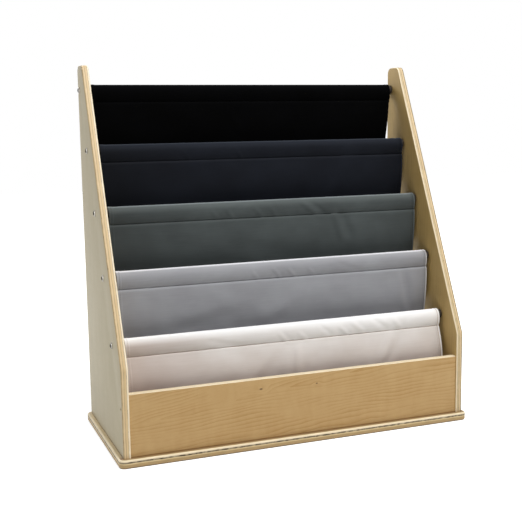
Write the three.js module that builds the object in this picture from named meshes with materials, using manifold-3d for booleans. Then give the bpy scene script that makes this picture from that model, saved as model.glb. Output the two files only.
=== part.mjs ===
// A sling bookshelf for a child's room. Two plywood side panels with slanted front edges stand on a
// plywood base. Round dowels, bolted between the sides, step down along the slant, and a cloth sling hangs
// from each: its casing wraps the dowel, its face drops as the back of one pocket, turns up under the
// books, and is sewn to the casing of the dowel below. The lowest sling is the back of a bin whose front
// is a plywood board. Nothing on the shelf moves.
//
// Millimetres. X runs along the dowels to the right, Y to the back, Z up. The origin is on the floor, at
// the centre of the base.
import * as THREE from "three";
import { mergeVertices } from "three/addons/utils/BufferGeometryUtils.js";
import Module from "manifold-3d";

// Plywood carcass
const outerWidth = 762; // over the outer faces of the two side panels
const boardThickness = 15;
const panelDepth = 322; // side panel, front to back at its foot
const panelTopDepth = 47; // the same, at its top
const panelHeight = 764;
const kneeHeight = 178; // where the upright front edge starts to slant
const panelTopRadius = 14;
const kneeRadius = 24;
const boardEase = 2; // rounding of the panels' free edges
const baseThickness = 18;
const baseOverhang = 9; // how far the base stands out all round
const baseCornerRadius = 12;
const baseEase = 3.5;
const frontPanelHeight = 127;
const frontPanelRecess = 3; // behind the side panels' front edges

// Dowels
const slingCount = 5;
const dowelDiameter = 20;
const dowelSetback = 51; // from the slanted edge to a dowel's axis, square to the edge
const firstDowelDrop = 51; // from the panels' top to the first dowel
const lastDowelRise = 32; // from the knee to the last; the others share out the height between
const dowelChamfer = 1;
const bottomDowelRise = 30; // from the base to the axis of the dowel that holds the lowest sling down
const bottomDowelSetback = 4; // behind the dowel above it
const socketDepth = 8; // of the blind holes that hold the bottom dowel
const socketClearance = 0.3;

// Slings
const clothThickness = 1.6;
const clothEase = 0.3; // between the cloth and its dowel, and between cloths that lie together
const casingHeight = 37; // from the top of the casing to its seam
const seamSetback = 2; // how far the stitches pull the casing's foot in behind its front
const lipDrop = 4.5; // from the seam down to where the face comes forward again
const slingEndGap = 5; // from the cloth's side edge to the panel
const faceRetreat = 15; // how far the face moves back on its way down
const pocketDepth = 100; // from a dowel's axis down to the bottom of the pocket behind it
const pocketSag = 8; // how much deeper the pocket hangs in the middle of its width
const sideDrawIn = 3; // how far the side edges pull in half way down a face
const lowestFaceBulge = 9; // the lowest face bows forward over the pocket behind it
const bendShare = 0.5; // how far along a stretch of cloth its bends reach
const bulgeShare = 0.6; // how far down its front the casing stays full

// Bolts through the side panels into threaded inserts in the dowels' ends
const boltHeadDiameter = 13.5;
const boltHeadHeight = 3.8;
const boltRimHeight = 0.8;
const boltDiameter = 6;
const boltLength = 35;
const boltChamfer = 0.8;
const boltHoleClearance = 0.3;
const keyWidth = 4; // hexagonal socket, across its flats
const keyDepth = 2.2;
const insertDiameter = 10;
const insertLength = 20;
const insertClearance = 0.2;
const boltTipRoom = 5; // left in the dowel's hole past the bolt and its insert

// Countersunk wood screws
const screwDiameter = 4;
const screwHeadDiameter = 7.6;
const screwHeadHeight = 2.6;
const screwTipLength = 6;
const screwLength = 45;
const screwSink = 0.4; // how deep the heads lie under the surface
const screwClearance = 0.2;
const baseScrewInset = 41; // from a side panel's front and back edges
const frontScrewInset = 120; // from the front panel's ends
const frontScrewDrop = 30; // from the front panel's top to the screws through the side panels

const cutOverrun = 2; // how far a cutter runs past the face that it opens

// Facets
const roundSegments = 24;
const smallRoundSegments = 16;
const arcSegments = 6;
const easeSegments = 3;
const casingArcSteps = 12;
const casingFrontSteps = 4;
const lipSteps = 3;
const faceSteps = 8;
const pocketSteps = 6;
const slingWidthSteps = 6;
const domeSteps = 4;

// Places that follow from the sizes
const halfWidth = outerWidth / 2;
const innerHalfWidth = halfWidth - boardThickness;
const panelFront = -panelDepth / 2;
const panelBack = panelDepth / 2;
const baseTop = baseThickness;
const panelTop = baseTop + panelHeight;
const slant = Math.atan2(panelDepth - panelTopDepth, panelHeight - kneeHeight); // from the vertical
const dowelRadius = dowelDiameter / 2;
const frontPanelFace = panelFront + frontPanelRecess;
const frontPanelMiddle = frontPanelFace + boardThickness / 2;

// The step from one dowel to the next, and each dowel's axis, as (y, z)
const dowelFall = (panelHeight - kneeHeight - firstDowelDrop - lastDowelRise) / (slingCount - 1);
const dowelStep = new THREE.Vector2(-dowelFall * Math.tan(slant), -dowelFall);
const firstDowel = new THREE.Vector2(
  panelBack - panelTopDepth - firstDowelDrop * Math.tan(slant) + dowelSetback / Math.cos(slant),
  panelTop - firstDowelDrop,
);
const dowelAxes = Array.from({ length: slingCount }, (_, i) =>
  firstDowel.clone().addScaledVector(dowelStep, i),
);
const bottomDowel = new THREE.Vector2(
  dowelAxes.at(-1).x + bottomDowelSetback,
  baseTop + bottomDowelRise,
);

// Finishes
const birchPly = { color: 0xd8bd90, roughness: 0.55, metalness: 0 };
const birchDowel = { color: 0xdcc8a0, roughness: 0.6, metalness: 0 };
const zincSteel = { color: 0xb4b4b0, roughness: 0.35, metalness: 1 };
const brass = { color: 0xb59a55, roughness: 0.4, metalness: 1 };
const slingFinishes = [
  ["black", 0x0b0b0d],
  ["navy", 0x1d2129],
  ["dark_grey", 0x4b4f4d],
  ["light_grey", 0x8b8b8e],
  ["cream", 0xdad6d2],
];

const wasm = await Module();
wasm.setup();

const bookshelf = new THREE.Group();

// Adds one piece to the shelf, with a material of its own, and gives it back to be placed.
function addPiece(name, geometry, finish) {
  const piece = new THREE.Mesh(geometry, new THREE.MeshStandardMaterial(finish));
  piece.name = name;
  bookshelf.add(piece);
  return piece;
}

function solidFrom(geometry) {
  const bare = geometry.index ? geometry.toNonIndexed() : geometry.clone();
  bare.deleteAttribute("normal");
  bare.deleteAttribute("uv");
  const welded = mergeVertices(bare);
  const vertProperties = welded.attributes.position.array;
  const triVerts = new Uint32Array(welded.index.array);
  return new wasm.Manifold(new wasm.Mesh({ numProp: 3, vertProperties, triVerts }));
}

// A geometry with the cutters' shapes taken out of it.
function cutFrom(geometry, cutters) {
  let solid = solidFrom(geometry);
  for (const cutter of cutters) {
    solid = solid.subtract(solidFrom(cutter));
  }
  const mesh = solid.getMesh();
  const result = new THREE.BufferGeometry();
  result.setAttribute("position", new THREE.BufferAttribute(mesh.vertProperties, 3));
  result.setIndex(new THREE.BufferAttribute(mesh.triVerts, 1));
  result.computeVertexNormals();
  return result;
}

// An outline through corners [x, y, radius], counterclockwise, each rounded by its radius.
function roundedOutline(corners) {
  const shape = new THREE.Shape();
  corners.forEach(([x, y, radius], i) => {
    if (radius === 0) {
      if (i === 0) shape.moveTo(x, y);
      else shape.lineTo(x, y);
      return;
    }
    const corner = new THREE.Vector2(x, y);
    const [previousX, previousY] = corners.at(i - 1);
    const [nextX, nextY] = corners[(i + 1) % corners.length];
    const back = new THREE.Vector2(previousX, previousY).sub(corner).normalize();
    const ahead = new THREE.Vector2(nextX, nextY).sub(corner).normalize();
    const halfAngle = Math.acos(back.dot(ahead)) / 2;
    const inward = back.clone().add(ahead).normalize();
    const centre = corner.clone().addScaledVector(inward, radius / Math.sin(halfAngle));
    const setback = radius / Math.tan(halfAngle);
    const start = corner.clone().addScaledVector(back, setback).sub(centre);
    const end = corner.clone().addScaledVector(ahead, setback).sub(centre);
    shape.absarc(centre.x, centre.y, radius, start.angle(), end.angle(), false);
  });
  return shape;
}

// A board cut to an outline, its edges eased on both faces, from depth 0 to the board's thickness.
function easedBoard(outline, thickness, ease) {
  const board = new THREE.ExtrudeGeometry(outline, {
    depth: thickness - 2 * ease,
    bevelThickness: ease,
    bevelSize: ease,
    bevelOffset: -ease,
    bevelSegments: easeSegments,
    curveSegments: arcSegments,
  });
  return board.translate(0, 0, ease);
}

// A section drawn in (y, z) is extruded along its own third axis. This lays that axis along x.
const sectionAlongX = new THREE.Matrix4().makeBasis(
  new THREE.Vector3(0, 1, 0),
  new THREE.Vector3(0, 0, 1),
  new THREE.Vector3(1, 0, 0),
);

// A plain cutter or sleeve shape lies along x, centred on its length.
function cylinderAlongX(diameter, length, segments) {
  const cylinder = new THREE.CylinderGeometry(diameter / 2, diameter / 2, length, segments);
  return cylinder.rotateZ(Math.PI / 2);
}

// A countersunk screw's turned profile, head up, its top at height 0. Grown, it cuts the screw's hole.
function screwGeometry(grow, overrun) {
  const shankRadius = screwDiameter / 2 + grow;
  const headRadius = screwHeadDiameter / 2 + grow;
  const profile = [
    new THREE.Vector2(0, -screwLength - grow),
    new THREE.Vector2(shankRadius, screwTipLength - screwLength - grow),
    new THREE.Vector2(shankRadius, -screwHeadHeight - grow),
    new THREE.Vector2(headRadius, -grow),
    new THREE.Vector2(headRadius, overrun),
    new THREE.Vector2(0, overrun),
  ];
  return new THREE.LatheGeometry(profile, smallRoundSegments);
}

// Where each screw's head lies, and how it is turned: heads face out of the sides and under the base.
const screwPlaces = [];
for (const [sideName, side] of [["left", -1], ["right", 1]]) {
  screwPlaces.push({
    name: `front_panel_screw_${sideName}`,
    position: [
      side * (halfWidth - screwSink),
      frontPanelMiddle,
      baseTop + frontPanelHeight - frontScrewDrop,
    ],
    rotation: [0, 0, (-side * Math.PI) / 2],
  });
  for (const [placeName, step] of [["front", -1], ["middle", 0], ["back", 1]]) {
    const y = step * (panelDepth / 2 - baseScrewInset);
    screwPlaces.push({
      name: `base_screw_${sideName}_${placeName}`,
      position: [side * (halfWidth - boardThickness / 2), y, screwSink],
      rotation: [-Math.PI / 2, 0, 0],
    });
  }
  screwPlaces.push({
    name: `base_screw_front_panel_${sideName}`,
    position: [side * (innerHalfWidth - frontScrewInset), frontPanelMiddle, screwSink],
    rotation: [-Math.PI / 2, 0, 0],
  });
}

function screwCutters() {
  return screwPlaces.map(({ position, rotation }) => {
    const turn = new THREE.Quaternion().setFromEuler(new THREE.Euler(...rotation));
    const place = new THREE.Matrix4().compose(
      new THREE.Vector3(...position),
      turn,
      new THREE.Vector3(1, 1, 1),
    );
    return screwGeometry(screwClearance, cutOverrun).applyMatrix4(place);
  });
}

function addScrews() {
  for (const { name, position, rotation } of screwPlaces) {
    const screw = addPiece(name, screwGeometry(0, 0), zincSteel);
    screw.position.set(...position);
    screw.rotation.set(...rotation);
  }
}

// Side panels: upright behind, slanted in front above the knee, with rounded top corners. Each is drawn
// longer by its ease and sawn off square at the foot, where it stands on the base.
function addSidePanels() {
  const outline = roundedOutline([
    [panelFront, baseTop - boardEase, 0],
    [panelBack, baseTop - boardEase, 0],
    [panelBack, panelTop, panelTopRadius],
    [panelBack - panelTopDepth, panelTop, panelTopRadius],
    [panelFront, baseTop + kneeHeight, kneeRadius],
  ]);
  const footCut = new THREE.BoxGeometry(2 * outerWidth, 2 * panelDepth, 2 * boardEase);
  footCut.translate(0, 0, baseTop - boardEase);
  for (const [sideName, side] of [["left", -1], ["right", 1]]) {
    const innerFace = side * innerHalfWidth;
    const board = easedBoard(outline, boardThickness, boardEase).applyMatrix4(sectionAlongX);
    board.translate(side > 0 ? innerHalfWidth : -halfWidth, 0, 0);
    const boltHole = boltDiameter + 2 * boltHoleClearance;
    const boltHoles = dowelAxes.map(({ x: y, y: z }) =>
      cylinderAlongX(boltHole, 4 * boardThickness, smallRoundSegments).translate(innerFace, y, z),
    );
    const socket = cylinderAlongX(
      dowelDiameter + 2 * socketClearance,
      2 * socketDepth,
      roundSegments,
    ).translate(innerFace, bottomDowel.x, bottomDowel.y);
    const panel = cutFrom(board, [footCut, ...boltHoles, socket, ...screwCutters()]);
    addPiece(`side_panel_${sideName}`, panel, birchPly);
  }
}

// The base carries both side panels and the front panel, and stands out all round them.
function addBasePanel() {
  const x = halfWidth + baseOverhang;
  const y = panelDepth / 2 + baseOverhang;
  const outline = roundedOutline([
    [-x, -y, baseCornerRadius],
    [x, -y, baseCornerRadius],
    [x, y, baseCornerRadius],
    [-x, y, baseCornerRadius],
  ]);
  const board = easedBoard(outline, baseThickness, baseEase);
  addPiece("base_panel", cutFrom(board, screwCutters()), birchPly);
}

// The front panel stands on the base between the sides and closes the lowest bin.
function addFrontPanel() {
  const back = frontPanelFace + boardThickness;
  const top = baseTop + frontPanelHeight;
  const section = roundedOutline([
    [frontPanelFace, baseTop, 0],
    [back, baseTop, 0],
    [back, top, boardEase],
    [frontPanelFace, top, boardEase],
  ]);
  const board = new THREE.ExtrudeGeometry(section, {
    depth: 2 * innerHalfWidth,
    bevelEnabled: false,
    curveSegments: easeSegments,
  });
  board.translate(0, 0, -innerHalfWidth).applyMatrix4(sectionAlongX);
  addPiece("front_panel", cutFrom(board, screwCutters()), birchPly);
}

// A bolted dowel has a blind hole for an insert in each end.
function boltedDowel() {
  const end = innerHalfWidth;
  const holeRadius = insertDiameter / 2 + insertClearance;
  const holeBottom = end - Math.max(insertLength, boltLength - boardThickness) - boltTipRoom;
  const half = [
    new THREE.Vector2(0, holeBottom),
    new THREE.Vector2(holeRadius, holeBottom),
    new THREE.Vector2(holeRadius, end),
    new THREE.Vector2(dowelRadius - dowelChamfer, end),
    new THREE.Vector2(dowelRadius, end - dowelChamfer),
  ];
  const mirrored = half.map(({ x, y }) => new THREE.Vector2(x, -y));
  return new THREE.LatheGeometry([...mirrored, ...half.reverse()], roundSegments);
}

// The bottom dowel is plain, and its ends rest in the blind holes of the side panels.
function plainDowel() {
  const end = innerHalfWidth + socketDepth - socketClearance;
  const profile = [
    new THREE.Vector2(0, -end),
    new THREE.Vector2(dowelRadius - dowelChamfer, -end),
    new THREE.Vector2(dowelRadius, dowelChamfer - end),
    new THREE.Vector2(dowelRadius, end - dowelChamfer),
    new THREE.Vector2(dowelRadius - dowelChamfer, end),
    new THREE.Vector2(0, end),
  ];
  return new THREE.LatheGeometry(profile, roundSegments);
}

function addDowels() {
  dowelAxes.forEach(({ x: y, y: z }, i) => {
    const dowel = addPiece(`dowel_${i + 1}`, boltedDowel(), birchDowel);
    dowel.rotation.z = Math.PI / 2;
    dowel.position.set(0, y, z);
  });
  const dowel = addPiece("bottom_dowel", plainDowel(), birchDowel);
  dowel.rotation.z = Math.PI / 2;
  dowel.position.set(0, bottomDowel.x, bottomDowel.y);
}

// A threaded sleeve, open at both ends, from depth 0 down.
function insertGeometry() {
  const bore = boltDiameter / 2 + boltHoleClearance;
  const profile = [
    new THREE.Vector2(bore, -insertLength),
    new THREE.Vector2(insertDiameter / 2, -insertLength),
    new THREE.Vector2(insertDiameter / 2, 0),
    new THREE.Vector2(bore, 0),
    new THREE.Vector2(bore, -insertLength),
  ];
  return new THREE.LatheGeometry(profile, smallRoundSegments);
}

// A button-head bolt, its head up from height 0, domed as a cap of a sphere, with a hexagonal socket.
function boltGeometry() {
  const headRadius = boltHeadDiameter / 2;
  const shankRadius = boltDiameter / 2;
  const rise = boltHeadHeight - boltRimHeight;
  const sphereRadius = (headRadius ** 2 + rise ** 2) / (2 * rise);
  const capAngle = Math.asin(headRadius / sphereRadius);
  const profile = [
    new THREE.Vector2(0, -boltLength),
    new THREE.Vector2(shankRadius - boltChamfer, -boltLength),
    new THREE.Vector2(shankRadius, boltChamfer - boltLength),
    new THREE.Vector2(shankRadius, 0),
    new THREE.Vector2(headRadius, 0),
  ];
  for (let step = domeSteps; step > 0; step -= 1) {
    const angle = (capAngle * step) / domeSteps;
    const drop = sphereRadius * (1 - Math.cos(angle));
    profile.push(new THREE.Vector2(sphereRadius * Math.sin(angle), boltHeadHeight - drop));
  }
  profile.push(new THREE.Vector2(0, boltHeadHeight));
  const keyRadius = keyWidth / Math.sqrt(3);
  const key = new THREE.CylinderGeometry(keyRadius, keyRadius, 2 * keyDepth, 6);
  key.translate(0, boltHeadHeight, 0);
  return cutFrom(new THREE.LatheGeometry(profile, smallRoundSegments), [key]);
}

function addBoltsAndInserts() {
  for (const [sideName, side] of [["left", -1], ["right", 1]]) {
    dowelAxes.forEach(({ x: y, y: z }, i) => {
      const bolt = addPiece(`dowel_bolt_${sideName}_${i + 1}`, boltGeometry(), zincSteel);
      const insert = addPiece(`dowel_insert_${sideName}_${i + 1}`, insertGeometry(), brass);
      bolt.position.set(side * halfWidth, y, z);
      insert.position.set(side * innerHalfWidth, y, z);
      for (const piece of [bolt, insert]) {
        piece.rotation.z = (-side * Math.PI) / 2;
      }
    });
  }
}

// Sizes of a casing, about its dowel's axis
const casingInner = dowelRadius + clothEase;
const casingOuter = casingInner + clothThickness;
const seamLevel = casingOuter - casingHeight;
const lip = new THREE.Vector2(-casingOuter + clothThickness / 2, seamLevel - lipDrop);
const seam = new THREE.Vector2(lip.x + seamSetback, seamLevel);

// A casing's section about its dowel: the cloth comes up in front, passes over the dowel, and its hem
// comes down behind to the seam, where the stitches pull both together a little behind the casing's
// full front. Gives the outside from the hem's end over to the front, and the inside.
function casingSection(upright) {
  const hem = new THREE.Vector2(seam.x + 1.5 * clothThickness, seamLevel);
  const hemTangent = hem.angle() - 2 * Math.PI + Math.acos(casingOuter / hem.length());
  const over = (radius) =>
    Array.from({ length: casingArcSteps + 1 }, (_, i) => {
      const angle = hemTangent + ((Math.PI - hemTangent) * i) / casingArcSteps;
      return new THREE.Vector2(radius * Math.cos(angle), radius * Math.sin(angle));
    });
  const front = new THREE.QuadraticBezierCurve(
    new THREE.Vector2(-casingOuter, 0),
    new THREE.Vector2(-casingOuter, bulgeShare * seamLevel),
    new THREE.Vector2(seam.x, seamLevel + clothThickness / 2),
  );
  // Inside, the front slopes back to the seam and meets the hem above it.
  const hemSlope = -1 / Math.tan(hemTangent);
  const frontSlope = seamSetback / seamLevel;
  const hemLevel = casingInner * (Math.sin(hemTangent) - hemSlope * (1 + Math.cos(hemTangent)));
  const meetingLevel = hemLevel / (1 - hemSlope * frontSlope);
  const meeting = new THREE.Vector2(meetingLevel * frontSlope - casingInner, meetingLevel);
  const outside = [hem, ...over(casingOuter), ...front.getPoints(casingFrontSteps).slice(1, -1)];
  const inside = [...over(casingInner), meeting];
  const flip = ({ x, y }) => new THREE.Vector2(x, upright ? y : -y);
  return { outside: outside.map(flip), inside: inside.map(flip) };
}

// The two sides of a strip of cloth that follows a path: each point moved half the thickness to the left
// and to the right of the way along.
function stripSides(path) {
  const side = (sign) =>
    path.map((point, i) => {
      const before = path[Math.max(i - 1, 0)];
      const after = path[Math.min(i + 1, path.length - 1)];
      const along = after.clone().sub(before).normalize();
      const across = new THREE.Vector2(along.y, -along.x);
      return point.clone().addScaledVector(across, (sign * clothThickness) / 2);
    });
  return { right: side(1), left: side(-1) };
}

// A path joined from curves that each run on from the last.
function pathFrom(curves) {
  return curves.flatMap(([curve, steps], i) => curve.getPoints(steps).slice(i ? 1 : 0));
}

// Below the stitches the face turns out again over a small lip.
const lipCurve = new THREE.QuadraticBezierCurve(seam, new THREE.Vector2(lip.x, seam.y), lip);

// The face falls from the lip and moves back as it falls, down to the level of the next casing's seam.
// The pocket turns up below that, and its front wall rises to that seam, just behind the next face.
function pocketSection() {
  const level = dowelStep.y - pocketDepth;
  const faceFoot = new THREE.Vector2(lip.x + faceRetreat, seam.y + dowelStep.y);
  const frontTop = seam.clone().add(dowelStep);
  frontTop.x += clothThickness + clothEase;
  frontTop.y -= clothThickness / 2 + clothEase;
  const bottom = new THREE.Vector2((faceFoot.x + frontTop.x) / 2, level);
  const face = new THREE.CubicBezierCurve(
    lip,
    new THREE.Vector2(lip.x, lip.y + bendShare * dowelStep.y),
    new THREE.Vector2(faceFoot.x, faceFoot.y - bendShare * dowelStep.y),
    faceFoot,
  );
  const back = new THREE.CubicBezierCurve(
    faceFoot,
    new THREE.Vector2(faceFoot.x, faceFoot.y + bendShare * (level - faceFoot.y)),
    new THREE.Vector2(bottom.x + bendShare * (faceFoot.x - bottom.x), level),
    bottom,
  );
  const front = new THREE.CubicBezierCurve(
    bottom,
    new THREE.Vector2(bottom.x + bendShare * (frontTop.x - bottom.x), level),
    new THREE.Vector2(frontTop.x, frontTop.y + bendShare * (level - frontTop.y)),
    frontTop,
  );
  const path = pathFrom([
    [lipCurve, lipSteps],
    [face, faceSteps],
    [back, pocketSteps],
    [front, pocketSteps],
  ]);
  const strip = stripSides(path);
  const casing = casingSection(true);
  const section = new THREE.Shape([...casing.outside, ...strip.right, ...strip.left.reverse()]);
  section.holes.push(new THREE.Path(casing.inside));
  return section;
}

// The lowest sling is one sheet between two casings, upper and lower, and its face bows forward.
function lowestSection() {
  const toBottom = bottomDowel.clone().sub(dowelAxes.at(-1));
  const foot = new THREE.Vector2(toBottom.x + seam.x, toBottom.y - seam.y);
  const footLip = new THREE.Vector2(toBottom.x + lip.x, toBottom.y - lip.y);
  const reach = (lip.y - footLip.y) / 3;
  const bow = (4 / 3) * lowestFaceBulge;
  const face = new THREE.CubicBezierCurve(
    lip,
    new THREE.Vector2(lip.x - bow, lip.y - reach),
    new THREE.Vector2(footLip.x - bow, footLip.y + reach),
    footLip,
  );
  const turnIn = new THREE.QuadraticBezierCurve(footLip, new THREE.Vector2(footLip.x, foot.y), foot);
  const path = pathFrom([
    [lipCurve, lipSteps],
    [face, faceSteps + pocketSteps],
    [turnIn, lipSteps],
  ]);
  const strip = stripSides(path);
  const upper = casingSection(true);
  const lower = casingSection(false);
  const shifted = (points) => points.map((point) => point.clone().add(toBottom));
  const section = new THREE.Shape([
    ...upper.outside,
    ...strip.right,
    ...shifted(lower.outside).reverse(),
    ...strip.left.reverse(),
  ]);
  section.holes.push(new THREE.Path(upper.inside), new THREE.Path(shifted(lower.inside)));
  return section;
}

// How far down a stretch a level lies, from 0 at its top to 1 at its foot, easing in and out.
function fallShare(level, top, foot) {
  return 1 - THREE.MathUtils.smoothstep(level, foot, top);
}

// The section carried along x, then let down: the pocket hangs deepest in the middle, and the side edges
// of the face pull in half way down.
function slingGeometry(section, foot, sag) {
  const width = 2 * (innerHalfWidth - slingEndGap);
  const cloth = new THREE.ExtrudeGeometry(section, {
    depth: width,
    steps: slingWidthSteps,
    bevelEnabled: false,
  });
  cloth.translate(0, 0, -width / 2).applyMatrix4(sectionAlongX);
  const places = cloth.attributes.position;
  for (let i = 0; i < places.count; i += 1) {
    const share = (2 * places.getX(i)) / width;
    const level = places.getZ(i);
    const pulled = Math.sin(Math.PI * fallShare(level, seamLevel, foot)) * sideDrawIn;
    const sagged = fallShare(level, foot + pocketDepth + seamLevel, foot) * sag * (1 - share ** 2);
    places.setX(i, places.getX(i) - share * pulled);
    places.setZ(i, level - sagged);
  }
  return cloth;
}

function addSlings() {
  slingFinishes.forEach(([colourName, color], i) => {
    const lowest = i === slingCount - 1;
    const section = lowest ? lowestSection() : pocketSection();
    const foot = lowest ? bottomDowel.y - dowelAxes[i].y - seamLevel : dowelStep.y - pocketDepth;
    const cloth = slingGeometry(section, foot, lowest ? 0 : pocketSag);
    const finish = { color, roughness: 0.75, metalness: 0 };
    const sling = addPiece(`sling_${i + 1}_${colourName}`, cloth, finish);
    sling.position.set(0, dowelAxes[i].x, dowelAxes[i].y);
  });
}

addSidePanels();
addBasePanel();
addFrontPanel();
addDowels();
addBoltsAndInserts();
addScrews();
addSlings();

export default bookshelf;
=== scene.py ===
# %% [markdown]
# # A sling bookshelf
#
# The shelf is two plywood sides on a plywood base, a low plywood front, and five cloth slings that hang
# from dowels. The construction comes in as a fixed frame, in metres. This lesson gives it its finish: wood
# with its grain and its plies, plated bolts, and slings made again as sewn cloth with hems, seams, stitches
# and soft wrinkles.

# %% The frame
import math
from functools import partial

import bpy
import numpy as np
from mathutils import Matrix, Vector


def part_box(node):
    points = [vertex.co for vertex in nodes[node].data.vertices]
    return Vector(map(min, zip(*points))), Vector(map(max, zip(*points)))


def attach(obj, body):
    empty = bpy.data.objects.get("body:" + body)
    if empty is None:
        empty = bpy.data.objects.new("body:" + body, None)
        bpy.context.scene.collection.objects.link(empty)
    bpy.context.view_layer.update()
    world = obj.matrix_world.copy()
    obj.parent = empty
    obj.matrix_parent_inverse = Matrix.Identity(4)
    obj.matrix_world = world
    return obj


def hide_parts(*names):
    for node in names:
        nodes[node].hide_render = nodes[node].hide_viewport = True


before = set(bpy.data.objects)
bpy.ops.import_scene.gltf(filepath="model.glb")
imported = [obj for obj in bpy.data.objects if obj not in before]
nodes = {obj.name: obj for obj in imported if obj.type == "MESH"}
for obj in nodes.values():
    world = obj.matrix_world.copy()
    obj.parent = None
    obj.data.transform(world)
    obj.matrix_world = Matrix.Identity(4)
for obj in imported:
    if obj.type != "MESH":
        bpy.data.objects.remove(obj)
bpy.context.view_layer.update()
MM = 0.001

# %% [markdown]
# ## The camera
#
# The photograph was taken from the left and a little above, from about two metres. A long lens at that
# distance keeps the sides nearly parallel, so the camera's place matters more than its lens. Its place and
# turn are worked out from the corners of the boards, and the small roll is real: the picture leans.

# %% Camera
CAMERA_PLACE = Vector((-752.2, -1888.9, 668.6)) * MM
CAMERA_LOOK = Vector((0.3535, 0.9233, -0.1503))
CAMERA_ROLL = math.radians(-0.773)
LENS = 64.98  # for a sensor 36 mm wide, which is Blender's own

camera = bpy.data.objects.new("camera", bpy.data.cameras.new("camera"))
camera.data.lens = LENS
camera.location = CAMERA_PLACE
camera.rotation_mode = "QUATERNION"
turn = CAMERA_LOOK.to_track_quat("-Z", "Y").to_matrix() @ Matrix.Rotation(CAMERA_ROLL, 3, "Z")
camera.rotation_quaternion = turn.to_quaternion()
bpy.context.scene.collection.objects.link(camera)
bpy.context.scene.camera = camera
print("camera: lens", LENS, "mm, place", [round(v, 3) for v in camera.location])

# %% [markdown]
# ## Colours and nodes
#
# Colours are written as the sRGB hex values that a colour picker shows, and one function turns them to the
# linear values that a renderer mixes. A second small function adds a node. Its settings are attributes, a
# ramp's stops are pairs of a place and a colour, and its inputs are values, sockets or whole nodes. A Mix
# node has several inputs called A and B, so those for colours go by number.

# %% Helpers for materials
MATH = "ShaderNodeMath"
MIX = "ShaderNodeMix"
NOISE = "ShaderNodeTexNoise"
MAPPING = "ShaderNodeMapping"
MAP_RANGE = "ShaderNodeMapRange"
VECTOR_MATH = "ShaderNodeVectorMath"
FROM, TO = 6, 7  # a Mix node's two colours, taken at factor 0 and at factor 1


def linear(hex_colour, alpha=1.0):
    """sRGB hex to linear: v/12.92 for dark values, else ((v + 0.055)/1.055) to the power 2.4."""
    values = np.array([int(hex_colour[i : i + 2], 16) for i in (1, 3, 5)]) / 255
    mixed = np.where(values <= 0.04045, values / 12.92, ((values + 0.055) / 1.055) ** 2.4)
    return (*mixed.tolist(), alpha)


def add(tree, kind, inputs=(), stops=(), **settings):
    """Adds one node, with its settings and stops, and fills or links its inputs by name or number.

    A node given as an input is linked from the first of its outputs that is in use.
    """
    node = tree.nodes.new(kind)
    for name, value in settings.items():
        setattr(node, name, value)
    for i, (place, colour) in enumerate(stops):
        ramp = node.color_ramp.elements
        stop = ramp[i] if i < 2 else ramp.new(place)
        stop.position, stop.color = place, linear(colour)
    for key, value in dict(inputs).items():
        if isinstance(value, bpy.types.Node):
            value = next(socket for socket in value.outputs if socket.enabled)
        if isinstance(value, bpy.types.NodeSocket):
            tree.links.new(value, node.inputs[key])
        else:
            node.inputs[key].default_value = value
    return node


def new_material(name):
    """An empty material, and add() for its node tree."""
    material = bpy.data.materials.new(name)
    material.use_nodes = True
    material.node_tree.nodes.clear()
    return material, partial(add, material.node_tree)


print("linear of middle grey:", [round(v, 3) for v in linear("#808080")])

# %% [markdown]
# ## The room
#
# A photographer would stand the shelf on a white sweep under a broad soft lamp. Here the floor is a large
# pale plane. To the camera, and in reflections, it and the world show white, and the floor still takes the
# shelf's soft shadow. The light on the wood and cloth comes from a big lamp overhead and in front, one
# above and behind, a low one on the left, where the left side hides it from the slings, a weak one on the
# right, and a little grey from all round.

# %% Sizes of the room
FLOOR_SIDE = 14.0  # m
FLOOR_COLOUR = "#efefed"
FLOOR_GLOW = (0.66, 1.0)  # what a straight look adds to the floor near the shelf and far away, to reach white
GLOW_RISE = (1.2, 3.5)  # m from the shelf, over which the glow rises
WORLD_STRENGTH = 0.12
LAMPS = (  # place in m, the height in m of the point on the shelf's axis that it faces, side in m, watts
    ("softbox_overhead", (0.7, -1.7, 3.7), 0.35, 2.4, 155),
    ("softbox_left", (-2.4, 0.3, 0.9), 0.4, 1.0, 10),
    ("softbox_right", (2.4, -1.6, 1.3), 0.4, 1.2, 3),
    ("softbox_back", (-0.8, 2.6, 2.4), 0.4, 1.5, 45),
)
print("lamps:", {name: power for name, place, height, side, power in LAMPS})


# %% Floor
def white_to_the_eye(node):
    """1 for camera, glossy and transmission rays, else 0."""
    path = node("ShaderNodeLightPath")
    camera_ray, glossy_ray, transmission_ray = (
        path.outputs[f"Is {kind} Ray"] for kind in ("Camera", "Glossy", "Transmission"))
    first = node(MATH, {0: camera_ray, 1: glossy_ray}, operation="MAXIMUM")
    return node(MATH, {0: first, 1: transmission_ray}, operation="MAXIMUM")


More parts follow.
